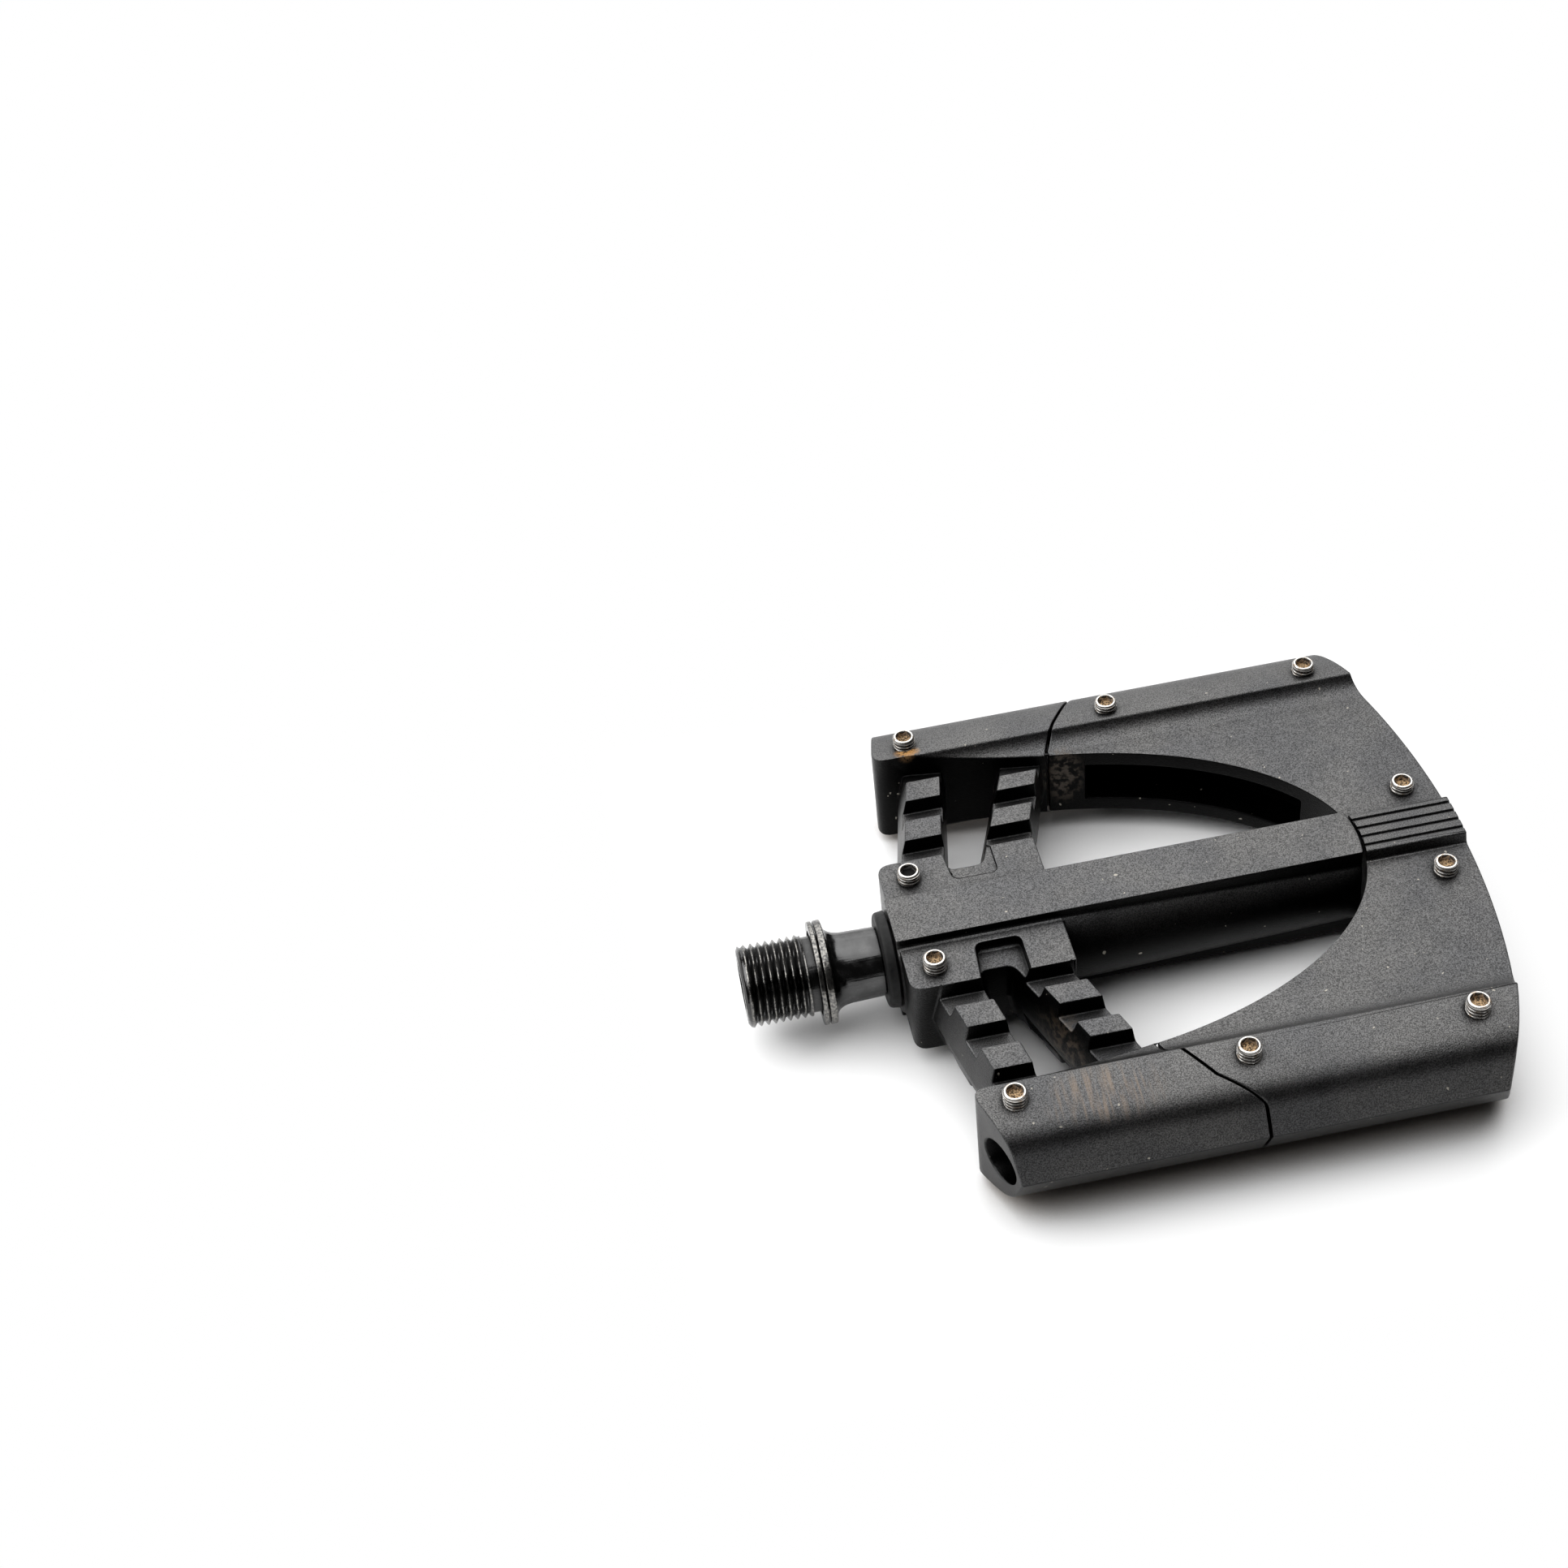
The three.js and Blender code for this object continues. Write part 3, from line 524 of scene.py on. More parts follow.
def rounded_edges(piece):
    """Flat faces are merged, then every crisp edge is rounded."""
    work = bmesh.new()
    work.from_mesh(piece.data)
    bmesh.ops.remove_doubles(work, verts=work.verts, dist=MERGE_DISTANCE)
    bmesh.ops.dissolve_degenerate(work, edges=work.edges, dist=MERGE_DISTANCE)
    bmesh.ops.dissolve_limit(work, angle_limit=FLAT_ANGLE, verts=work.verts, edges=work.edges)
    work.to_mesh(piece.data)
    work.free()
    bevel = piece.modifiers.new("round", "BEVEL")
    bevel.width = EDGE_RADIUS
    bevel.segments = EDGE_SEGMENTS
    bevel.limit_method = "ANGLE"
    bevel.angle_limit = EDGE_ANGLE
    bevel.use_clamp_overlap = False
    bevel.miter_outer = "MITER_ARC"
    return settle(piece)


def place(piece, name, body, material_slot, replaced):
    """The finished piece in the pedal's frame, shaded smooth, riding on its body."""
    piece.data.transform(Matrix.Scale(MM, 4) @ Matrix.Translation((-MIDDLE_X, 0, 0)))
    piece.name = name
    piece.data.name = name
    piece.data.shade_smooth()
    piece.data.set_sharp_from_angle(angle=SMOOTH_ANGLE)
    normals = piece.modifiers.new("normals", "WEIGHTED_NORMAL")
    normals.keep_sharp = True
    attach(piece, body)
    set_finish(piece, material_slot)
    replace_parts(piece, replaced)
    return piece


# Pins: where each stands


def pin_places():
    places = []
    for side, sign in (("near", -1), ("far", 1)):
        for row, x in RAIL_PIN_ROWS.items():
            carrier = "body" if row == "inboard" else "cage"
            places.append((f"{side}_rail_{row}", x, sign * RAIL_PIN_Y, rail_height(RAIL_PIN_Y), carrier))
        places.append((f"{side}_rim", RIM_PIN[0], sign * RIM_PIN[1], DECK_Z, "cage"))
        places.append((f"{side}_hub", HUB_PIN[0], sign * HUB_PIN[1], PAD_Z, "body"))
    return places


def pin_holes(carrier):
    holes = []
    for name, x, y, surface, its_carrier in pin_places():
        if its_carrier != carrier:
            continue
        low = surface + PIN_STANDS[name] - PIN_LENGTH
        hole = rod(PIN_HOLE_RADIUS, low, surface + OVERRUN, PIN_SIDES)
        changed(hole, Matrix.Translation((x, y, 0)) @ UPRIGHT)
        holes += [hole, copied(hole, MIRROR_Z)]
    return holes


# Outer cage


def cage_plan():
    reach = HALF_WIDTH + OVERRUN
    rim = [rim_point(lerp(-HALF_WIDTH, HALF_WIDTH, i / RIM_STEPS)) for i in range(RIM_STEPS + 1)]
    far = list(reversed(seam(**FAR_SEAM, shift=SEAM_GAP / 2)[1:]))
    near = mirrored(reversed(seam(**NEAR_SEAM, shift=SEAM_GAP / 2)[1:]))
    angle = angle_at_x(ARCH_LENGTH, SEAM_START_X + SEAM_GAP / 2)
    arch = ellipse_arc(ARCH_LENGTH, ARCH_HALF, angle, -angle, ARCH_STEPS)
    outline = [(rim[0][0], -reach)] + rim + [(rim[-1][0], reach), (far[0][0], reach)]
    return outline + far + arch + near + [(near[-1][0], -reach)]


def wall_hollow():
    outer_half = ARCH_HALF + HOLLOW_DEPTH_Y
    outer_length = ARCH_LENGTH + HOLLOW_DEPTH_X
    inner_half = ARCH_HALF - OVERRUN
    inner_length = ARCH_LENGTH - OVERRUN
    outer = ellipse_arc(
        outer_length,
        outer_half,
        math.asin(HOLLOW_END_Y / outer_half),
        angle_at_x(outer_length, HOLLOW_START_X),
        HOLLOW_STEPS,
    )
    inner = ellipse_arc(
        inner_length,
        inner_half,
        angle_at_x(inner_length, HOLLOW_START_X),
        math.asin(HOLLOW_END_Y / inner_half),
        HOLLOW_STEPS,
    )
    return outer + inner


def outer_cage():
    height = RIDGE_Z + OVERRUN
    cage = common(bar(platform_section(), SEAM_START_X, RIM_X + OVERRUN), plate(cage_plan(), -height, height))
    hollow = plate(wall_hollow(), -HOLLOW_HALF_HEIGHT, HOLLOW_HALF_HEIGHT)
    cage = rounded_edges(cut(cage, [copied(hollow, MIRROR_Y), hollow]))
    bolt_holes = [moved(rod(BOLT_RADIUS, SEAM_START_X, BOLT_END_X), y=sign * BOLT_Y) for sign in (-1, 1)]
    return cut(cage, bolt_holes + pin_holes("cage"))


# Pedal body


def block_plan(its_seam, slant_share):
    reach = HALF_WIDTH + OVERRUN
    edge = seam(**its_seam, shift=-SEAM_GAP / 2)
    end_corner = (BLOCK_END_X, RIDGE_Y)
    outer_end = (BLOCK_END_X + slant_share * (reach - RIDGE_Y), reach)
    knee = (BLOCK_KNEE_X, RIDGE_Y)
    corner = rounded_corner(outer_end, end_corner, knee, BLOCK_CORNER_RADIUS)
    return [knee] + edge + [(edge[-1][0], reach), outer_end] + corner


def end_block(its_seam, slant_share):
    height = RIDGE_Z + OVERRUN
    section = bar(platform_section(), BLOCK_END_X - OVERRUN, SEAM_START_X + its_seam["length"])
    return common(section, plate(block_plan(its_seam, slant_share), -height, height))


def arm_edge(edge, y):
    return map_linear(y, HUB_HALF, RIDGE_Y, edge[0], edge[1])


def arm_outline(inboard, outboard, lean_share):
    """The arm's outline at one height, its flanks moved out by a share of their lean."""
    end_y = RIDGE_Y + EDGE_RADIUS
    left = ARM_LEAN_INBOARD * lean_share
    right = ARM_LEAN_OUTBOARD * lean_share
    return [
        (arm_edge(inboard, ARM_ROOT_Y) - left, ARM_ROOT_Y),
        (arm_edge(outboard, ARM_ROOT_Y) + right, ARM_ROOT_Y),
        (arm_edge(outboard, end_y) + right, end_y),
        (arm_edge(inboard, end_y) - left, end_y),
    ]


def levelled(name, levels):
    return layered(name, [[(x, y, z) for x, y in outline] for z, outline in levels])


def arm(inboard, outboard, land_shares):
    """One arm on the far side: its flanks lean out towards the middle, and steps are cut across it."""
    narrow = arm_outline(inboard, outboard, 0)
    wide = arm_outline(inboard, outboard, 1)
    edges = [HUB_HALF] + [lerp(HUB_HALF, RIDGE_Y, share) for share in land_shares] + [RIDGE_Y + OVERRUN]
    notches = []
    for start, end in zip(edges[::2], edges[1::2]):
        section = [
            (start + NOTCH_DRAFT, NOTCH_FLOOR_Z),
            (end - NOTCH_DRAFT, NOTCH_FLOOR_Z),
            (end, PAD_Z),
            (end, PAD_Z + OVERRUN),
            (start, PAD_Z + OVERRUN),
            (start, PAD_Z),
        ]
        notch = bar(section, inboard[0] - OVERRUN, outboard[1] + OVERRUN)
        notches += [notch, copied(notch, MIRROR_Z)]
    return cut(levelled("arm", [(-PAD_Z, narrow), (0, wide), (PAD_Z, narrow)]), notches)


def recess_edge(y):
    """The inboard side of a recess and of the window beside it."""
    return ARMS[0]["outboard"][0] + RECESS_SLANT * (HUB_HALF - y)


def window_outline(start_y, lean_share):
    """The opening between two arms at one height, where it bites into the hub."""
    ends = (start_y, HUB_HALF)
    left = [recess_edge(y) + ARM_LEAN_OUTBOARD * lean_share for y in ends]
    right = [arm_edge(ARMS[1]["inboard"], y) - ARM_LEAN_INBOARD * lean_share for y in ends]
    corners = [(left[0], ends[0]), (right[0], ends[0]), (right[1], ends[1]), (left[1], ends[1])]
    return rounded_outline(corners, (WINDOW_CORNER_RADIUS, WINDOW_CORNER_RADIUS, 0, 0))


def window():
    """The whole opening, narrower at half its depth."""
    wide = window_outline(WINDOW_START_Y, 0)
    waist = window_outline(WINDOW_START_Y + WINDOW_LEAN, 1)
    return levelled("window", [(-PAD_Z, wide), (0, waist), (PAD_Z, wide)])


def recess(start_y, depth):
    """A pocket beside the window, whose inboard side leans as the window's does."""
    right = ARMS[1]["inboard"][0] + RECESS_LEDGE
    levels = []
    for below in (depth, -OVERRUN):
        left = [recess_edge(y) + ARM_LEAN_OUTBOARD * below / PAD_Z for y in (start_y, HUB_HALF)]
        corners = [(left[0], start_y), (right, start_y), (right, HUB_HALF), (left[1], HUB_HALF)]
        outline = rounded_outline(corners, (WINDOW_CORNER_RADIUS, WINDOW_CORNER_RADIUS, 0, 0))
        levels.append((PAD_Z - below, outline))
    return levelled("recess", levels)


def hub_and_arms():
    corners = [(HUB_X, -HUB_HALF), (HUB_FRONT_X, -HUB_HALF), (HUB_FRONT_X, HUB_HALF), (HUB_X, HUB_HALF)]
    radii = (HUB_CORNER_RADIUS, 0, 0, HUB_CORNER_RADIUS)
    far_arms = [arm(**dimensions) for dimensions in ARMS]
    near_arms = [copied(piece, MIRROR_Y) for piece in far_arms]
    block = joined([plate(rounded_outline(corners, radii), -PAD_Z, PAD_Z)] + far_arms + near_arms)
    far_window = window()
    near_recess = changed(recess(**DEEP_RECESS), MIRROR_Y)
    far_recess = recess(**SHALLOW_RECESS)
    tools = [
        copied(far_window, MIRROR_Y),
        copied(near_recess, HALF_TURN_X),
        copied(far_recess, HALF_TURN_X),
        far_window,
        near_recess,
        far_recess,
    ]
    return cut(block, tools)


def barrel():
    body = revolved([
        (BARREL_X, BARREL_ROOT_RADIUS),
        (HUB_FRONT_X, BARREL_ROOT_RADIUS),
        (BARREL_TIP_X, BARREL_TIP_RADIUS),
    ], ROUND_SIDES)
    strip = bar(box_corners(STRIP_HALF, STRIP_Z), BARREL_X, BARREL_TIP_X)
    length = ARCH_LENGTH - BARREL_GAP
    half = ARCH_HALF - BARREL_GAP
    end = ellipse_arc(length, half, -math.pi / 2, math.pi / 2, ARCH_STEPS)
    plan = [(BARREL_X, -half)] + end + [(BARREL_X, half)]
    height = STRIP_Z + OVERRUN
    return common(joined([body, strip]), plate(plan, -height, height))


def pedal_body():
    near_block = changed(end_block(NEAR_SEAM, NEAR_SLANT_SHARE), MIRROR_Y)
    body = joined([hub_and_arms(), barrel(), end_block(FAR_SEAM, FAR_SLANT_SHARE), near_block])
    sides = (-BOLT_Y, BOLT_Y)
    counterbores = [moved(rod(COUNTERBORE_RADIUS, BLOCK_END_X - OVERRUN, BOLT_SEAT_X), y=y) for y in sides]
    body = rounded_edges(cut(body, counterbores))
    bores = [
        rod(BORE_RADIUS, BARREL_X - OVERRUN, BUSH_SEAT_X, ROUND_SIDES),
        rod(MID_BORE_RADIUS, BARREL_X, RIM_X, ROUND_SIDES),
        rod(BORE_RADIUS, BEARING_SEAT_X, RIM_X, ROUND_SIDES),
    ]
    bolt_holes = [moved(rod(BOLT_RADIUS, BLOCK_END_X, BOLT_END_X), y=y) for y in sides]
    return cut(body, bores + bolt_holes + pin_holes("body"))


# Threads, spindle, washer and seal


def thread_rows(start, end, crest, depth, pitch, fade_turns):
    """Rows of a real helix that grows to its full depth over the turns asked, and fades likewise."""
    fade_length = pitch * fade_turns
    count = round((end - start) / pitch * ROWS_PER_PITCH)
    rows = []
    for i in range(count + 1):
        x = lerp(start, end, i / count)
        fade = min(1, (x - start) / fade_length, (end - x) / fade_length)

        def radius(angle, x=x, fade=fade):
            phase = (x / pitch + angle / (2 * math.pi)) % 1
            ramp = 1 - abs(2 * phase - 1)
            height = min(1, max(0, (ramp - THREAD_ROOT_SHARE) / THREAD_FLANK_SHARE))
            return crest - depth * (1 - height) * lerp(THREAD_END_SHARE, 1, fade)

        rows.append((x, radius))
    return rows


def spindle():
    root = THREAD_RADIUS - THREAD_DEPTH
    thread_start = THREAD_END_X + THREAD_CHAMFER / 2
    thread_stop = THREAD_END_X + THREAD_LENGTH
    flange_back = FLANGE_X + FLANGE_THICKNESS
    rows = [(THREAD_END_X, root - THREAD_CHAMFER / 2), (THREAD_END_X, root)]
    rows += thread_rows(thread_start, thread_stop, THREAD_RADIUS, THREAD_DEPTH, THREAD_PITCH, THREAD_FADE)
    rows += [(thread_stop, RELIEF_RADIUS), (FLANGE_X, RELIEF_RADIUS)]
    rows += curve(
        (FLANGE_X, FLANGE_RADIUS - FLANGE_EDGE),
        (FLANGE_X, FLANGE_RADIUS),
        (FLANGE_X + FLANGE_EDGE, FLANGE_RADIUS),
        CORNER_STEPS,
    )
    rows += curve(
        (flange_back - FLANGE_EDGE, FLANGE_RADIUS),
        (flange_back, FLANGE_RADIUS),
        (flange_back, FLANGE_RADIUS - FLANGE_EDGE),
        CORNER_STEPS,
    )
    rows += curve(
        (flange_back, NECK_RADIUS + FLANGE_FILLET),
        (flange_back, NECK_RADIUS),
        (flange_back + FLANGE_FILLET_LENGTH, NECK_RADIUS),
        FILLET_STEPS,
    )
    neck_end = SEAL_X - CLEARANCE
    rows += [(neck_end, NECK_END_RADIUS), (neck_end, JOURNAL_RADIUS)]
    rows += [(JOURNAL_END_X, JOURNAL_RADIUS), (WAIST_X, WAIST_RADIUS)]
    rows += [(BEARING_SEAT_X, WAIST_RADIUS), (BEARING_SEAT_X, BEARING_BORE_RADIUS)]
    rows += [(BEARING_END_X, BEARING_BORE_RADIUS), (BEARING_END_X, STUD_RADIUS), (STUD_END_X, STUD_RADIUS)]
    key = hexagon(HEX_KEY_FLATS, THREAD_END_X - OVERRUN, THREAD_END_X + HEX_KEY_DEPTH)
    return cut(revolved(rows, SPINDLE_SIDES), [key])


def disc_profile(start, end, radius, edge):
    first = curve((start, radius - edge), (start, radius), (start + edge, radius), CORNER_STEPS)
    last = curve((end - edge, radius), (end, radius), (end, radius - edge), CORNER_STEPS)
    return first + last


def washer():
    end = FLANGE_X - CLEARANCE
    return tube(disc_profile(end - WASHER_THICKNESS, end, FLANGE_RADIUS, WASHER_EDGE), WASHER_BORE)


def seal():
    end = BARREL_X - CLEARANCE
    front_radius = SEAL_RADIUS - SEAL_TAPER
    profile = curve(
        (SEAL_X, front_radius - SEAL_EDGE),
        (SEAL_X, front_radius),
        (SEAL_X + SEAL_EDGE, front_radius),
        FILLET_STEPS,
    )
    profile += [(end - SEAL_TAPER, SEAL_RADIUS), (end, SEAL_RADIUS - SEAL_TAPER)]
    profile += [(end, BORE_RADIUS - CLEARANCE), (BARREL_X + SEAL_LIP, BORE_RADIUS - CLEARANCE)]
    return tube(profile, SEAL_BORE)


# Bolts and pins


def cage_bolt():
    head_end = BOLT_SEAT_X - CLEARANCE
    head = head_end - BOLT_HEAD_HEIGHT
    rows = curve(
        (head, BOLT_HEAD_RADIUS - BOLT_HEAD_EDGE),
        (head, BOLT_HEAD_RADIUS),
        (head + BOLT_HEAD_EDGE, BOLT_HEAD_RADIUS),
        CORNER_STEPS,
    )
    rows += [(head_end, BOLT_HEAD_RADIUS), (head_end, BOLT_RADIUS), (BOLT_END_X, BOLT_RADIUS)]
    return cut(revolved(rows, BORE_SIDES), [hexagon(BOLT_KEY_FLATS, head - OVERRUN, head + BOLT_KEY_DEPTH)])


def traction_pin():
    """A grub screw along x with its top at zero, turned upright by the caller."""
    thread_end = -PIN_THREAD_START
    thread_start = -PIN_LENGTH
    rows = [(thread_start, PIN_RADIUS - PIN_THREAD_DEPTH)]
    rows += thread_rows(thread_start, thread_end, PIN_RADIUS, PIN_THREAD_DEPTH, PIN_PITCH, PIN_THREAD_FADE)
    ring = ((-PIN_CHAMFER, PIN_RING_RADIUS), (0, PIN_RING_RADIUS), (0, PIN_TOP_RADIUS))
    rows += curve(*ring, CORNER_STEPS)
    key = hexagon(PIN_KEY_FLATS, -PIN_KEY_DEPTH, OVERRUN)
    mouth = revolved([
        (-PIN_MOUTH_DEPTH, PIN_KEY_FLATS / 2),
        (0, PIN_MOUTH_RADIUS),
        (OVERRUN, PIN_MOUTH_RADIUS + OVERRUN),
    ], PIN_SIDES)
    pin = cut(revolved(rows, PIN_SIDES), [mouth, key])
    dirt = pin.data.attributes.new("dirt", "FLOAT", "POINT")
    groove_dirt_and_shade = pin.data.attributes.new("groove_dirt_and_shade", "FLOAT", "POINT")
    for vertex, dirt_mark, groove_dirt_and_shade_mark in zip(pin.data.vertices, dirt.data, groove_dirt_and_shade.data):
        depth = -vertex.co.x
        radius = vertex.co.yz.length
        inside = radius < (PIN_MOUTH_RADIUS + PIN_TOP_RADIUS) / 2
        bottom = (PIN_MOUTH_DEPTH + PIN_KEY_DEPTH) / 2 < depth < 2 * PIN_KEY_DEPTH
        dirt_mark.value = float(inside and bottom)
        # Painted shade: the key hole's walls are marked dark; outside, the thread's grooves are marked dark
        # with dirt
        if inside:
            groove_dirt_and_shade_mark.value = float(PIN_MOUTH_DEPTH / 2 < depth and not bottom)
        elif depth > PIN_CHAMFER / 2:
            sunk = min(1, (PIN_RADIUS - radius) / PIN_THREAD_DEPTH)
            groove_dirt_and_shade_mark.value = lerp(PIN_CREST_DARK, 1, sunk)
    return pin


# Building and placing the pieces

pieces = {}


def add(piece, name, body, material_slot, replaced):
    pieces[name] = place(piece, name, body, material_slot, replaced)


add(pedal_body(), "forged_body", "platform", "black_alloy", "pedal_body")
add(outer_cage(), "arched_cage", "platform", "black_alloy", "outer_cage")
add(spindle(), "threaded_spindle", "spindle", "black_steel", "spindle")
add(washer(), "thin_washer", "spindle", "black_steel", "crank_washer")
add(seal(), "seal_collar", "platform", "black_rubber", "spindle_seal")
for side_name, sign in (("near", -1), ("far", 1)):
    bolt = moved(cage_bolt(), y=sign * BOLT_Y)
    add(bolt, f"cap_screw_{side_name}", "platform", "black_steel", f"cage_bolt_{side_name}")

turns = random.Random(PIN_TURN_SEED)
pin_model = traction_pin()
for pin_name, pin_x, pin_y, pin_surface, _ in pin_places():
    top = pin_surface + PIN_STANDS[pin_name]
    for end_name, upright in (("top", Matrix.Identity(4)), ("bottom", HALF_TURN_X)):
        turn = Matrix.Rotation(turns.uniform(0, 2 * math.pi), 4, "X")
        stand = Matrix.Translation((0, 0, top)) @ UPRIGHT @ turn
        pin = moved(copied(pin_model, upright @ stand), pin_x, pin_y)
        add(pin, f"grub_screw_{pin_name}_{end_name}", "platform", "pin_steel", f"pin_{pin_name}_{end_name}")
bpy.data.objects.remove(pin_model)


# Materials

NOISE_DETAIL = 3.0
NOISE_ROUGHNESS = 0.55
SHADE_SAMPLES = 8
SPOT_CORE = 0.35
SPECULAR = 0.42
MIX_INPUTS = (0, 6, 7)
MIX_OUTPUT = 2
MIDDLE_SPAN = (0.3, 0.7)


class Nodes:
    """A material's node tree, with short ways to add the nodes that every finish here uses."""

    def __init__(self, name):
        self.material = bpy.data.materials.new(name)
        self.material.use_nodes = True
        self.tree = self.material.node_tree
        self.shader = self.tree.nodes["Principled BSDF"]
        self.where = self.add("ShaderNodeTexCoord").outputs["Object"]

    def add(self, kind, **settings):
        node = self.tree.nodes.new(kind)
        for key, value in settings.items():
            setattr(node, key, value)
        return node

    def link(self, source, target):
        self.tree.links.new(source, target)

    def noise(self, size_mm, detail=NOISE_DETAIL, roughness=NOISE_ROUGHNESS):
        """Noise whose features are about size_mm across."""
        node = self.add("ShaderNodeTexNoise")
        node.inputs["Scale"].default_value = 1 / (size_mm * MM)
        node.inputs["Detail"].default_value = detail
        node.inputs["Roughness"].default_value = roughness
        self.link(self.where, node.inputs["Vector"])
        return node.outputs["Fac"]

    def ramp(self, value, low, high, start=0.0, end=1.0):
        """A number that goes smoothly from start to end as value goes from low to high."""
        node = self.add("ShaderNodeMapRange", interpolation_type="SMOOTHSTEP")
        for socket, number in zip(("From Min", "From Max", "To Min", "To Max"), (low, high, start, end)):
            node.inputs[socket].default_value = number
        self.link(value, node.inputs["Value"])
        return node.outputs["Result"]

    def math(self, operation, *values):
        node = self.add("ShaderNodeMath", operation=operation)
        for socket, value in zip(node.inputs, values):
            if isinstance(value, (int, float)):
                socket.default_value = value
            else:
                self.link(value, socket)
        return node.outputs[0]

    def mix(self, share, first, second):
        """A colour between two, each a colour or a socket."""
        node = self.add("ShaderNodeMix", data_type="RGBA")
        for number, value in zip(MIX_INPUTS, (share, first, second)):
            socket = node.inputs[number]
            if isinstance(value, (int, float)):
                socket.default_value = value
            elif isinstance(value, tuple):
                socket.default_value = (*value, 1)
            else:
                self.link(value, socket)
        return node.outputs[MIX_OUTPUT]

    def bump(self, height, depth_mm, previous=None):
        node = self.add("ShaderNodeBump")
        node.inputs["Strength"].default_value = 1.0
        node.inputs["Distance"].default_value = depth_mm * MM
        self.link(height, node.inputs["Height"])
        if previous:
            self.link(previous, node.inputs["Normal"])
        return node.outputs["Normal"]

    def vector(self, operation, first, second):
        node = self.add("ShaderNodeVectorMath", operation=operation)
        self.link(first, node.inputs[0])
        node.inputs[1].default_value = second
        return node.outputs["Value" if operation == "LENGTH" else "Vector"]

    def open_share(self, reach_mm):
        """How open the surface is to what lies within reach: one when nothing shades it."""
        node = self.add("ShaderNodeAmbientOcclusion", samples=SHADE_SAMPLES)
        node.inputs["Distance"].default_value = reach_mm * MM
        return node.outputs["AO"]

    def spot(self, centre_mm, radii_mm):
        """One in the middle of a spot on the pedal, falling to zero at its radii."""
        centre = (Vector(centre_mm) - Vector((MIDDLE_X, 0, 0))) * MM
        away = self.vector("SUBTRACT", self.where, centre)
        away = self.vector("DIVIDE", away, Vector(radii_mm) * MM)
        return self.ramp(self.vector("LENGTH", away, Vector()), SPOT_CORE, 1.0, 1.0, 0.0)

    def streaks(self, size_mm):
        """Noise drawn out by a different size along each axis."""
        node = self.add("ShaderNodeTexNoise")
        node.inputs["Scale"].default_value = 1.0
        node.inputs["Detail"].default_value = NOISE_DETAIL
        scaled = self.vector("DIVIDE", self.where, Vector(size_mm) * MM)
        self.link(scaled, node.inputs["Vector"])
        return node.outputs["Fac"]

    def mark(self, name):
        """A number kept on the mesh's points."""
        return self.add("ShaderNodeAttribute", attribute_name=name).outputs["Fac"]

    def axis(self, letter):
        node = self.add("ShaderNodeSeparateXYZ")
        self.link(self.where, node.inputs[0])
        return node.outputs[letter]

    def finish(self, color, roughness, normal, metallic=0.0, specular=SPECULAR):
        for name, value in (("Metallic", metallic), ("Specular IOR Level", specular)):
            if isinstance(value, float):
                self.shader.inputs[name].default_value = value
            else:
                self.link(value, self.shader.inputs[name])
        self.link(color, self.shader.inputs["Base Color"])
        self.link(roughness, self.shader.inputs["Roughness"])
        self.link(normal, self.shader.inputs["Normal"])
        return self.material


# Satin black alloy. Sizes are in millimetres. A span is where a pattern comes in, and what it then does.
ALLOY_DARK = (0.116, 0.116, 0.118)
ALLOY_LIGHT = (0.142, 0.14, 0.138)
# Dark colour for the grain's pits and the parting line, and for the painted shade where the alloy is closed
# in
ALLOY_PIT_AND_SHADE = (0.006, 0.006, 0.006)
ALLOY_TONE_SIZE = 14.0
ALLOY_TONE_SPAN = (0.35, 0.65)
ALLOY_GLOSS_SIZE = 6.0
ALLOY_ROUGHNESS = (0.3, 0.37)
GRAIN = {"size_mm": 0.2, "detail": 2.0, "roughness": 0.6}
GRAIN_SPAN = (0.36, 0.64, 0.3, 1.0)
GRAIN_DEPTH = 0.06
PARTING_LINE_SPAN = (0.06 * MM, 0.16 * MM, 0.35, 1.0)
# Painted shade: the alloy's colour goes dark where its surroundings within this reach close it in
SHADE_REACH = 60.0
SHADE_SPAN = (0.46, 0.96)

# What covers the alloy in places: its colour, and the pattern in which it lies
DUST = (0.42, 0.39, 0.33)
DUST_GRAIN = {"size_mm": 1.1, "detail": 1.0}
DUST_SPAN = (0.77, 0.8, 0.0, 0.7)
SCUFF = (0.2, 0.15, 0.11)
SCUFF_STREAK = (0.7, 9.0, 9.0)
SCUFF_SPAN = (0.42, 0.72, 0.0, 0.6)
MUD = (0.06, 0.042, 0.026)
MUD_GRAIN = {"size_mm": 1.2, "detail": 4.0}
MUD_SPAN = (0.42, 0.6)
RUST = (0.5, 0.27, 0.1)
RUST_SIZE = 0.5
RUST_SPAN = (0.36, 0.5)

# Where the finish is worn or dirty, and one pin's key hole that is painted black as shade: the middle and the
# reach of each spot
BLOCK_SCUFF = ((14.0, -44.5, 9.0), (12.0, 7.0, 4.0))
ARCH_DIRT = ((27.5, 34.0, 2.0), (4.5, 4.0, 8.0))
ARM_DIRT = ((12.0, -27.0, 0.0), (5.0, 13.0, 7.0))
PIN_RUST = ((0.0, 40.1, 9.4), (2.8, 1.7, 2.4))
SHADED_SOCKET_SPOT = ((*HUB_PIN, 9.0), (4.0, 4.0, 4.0))


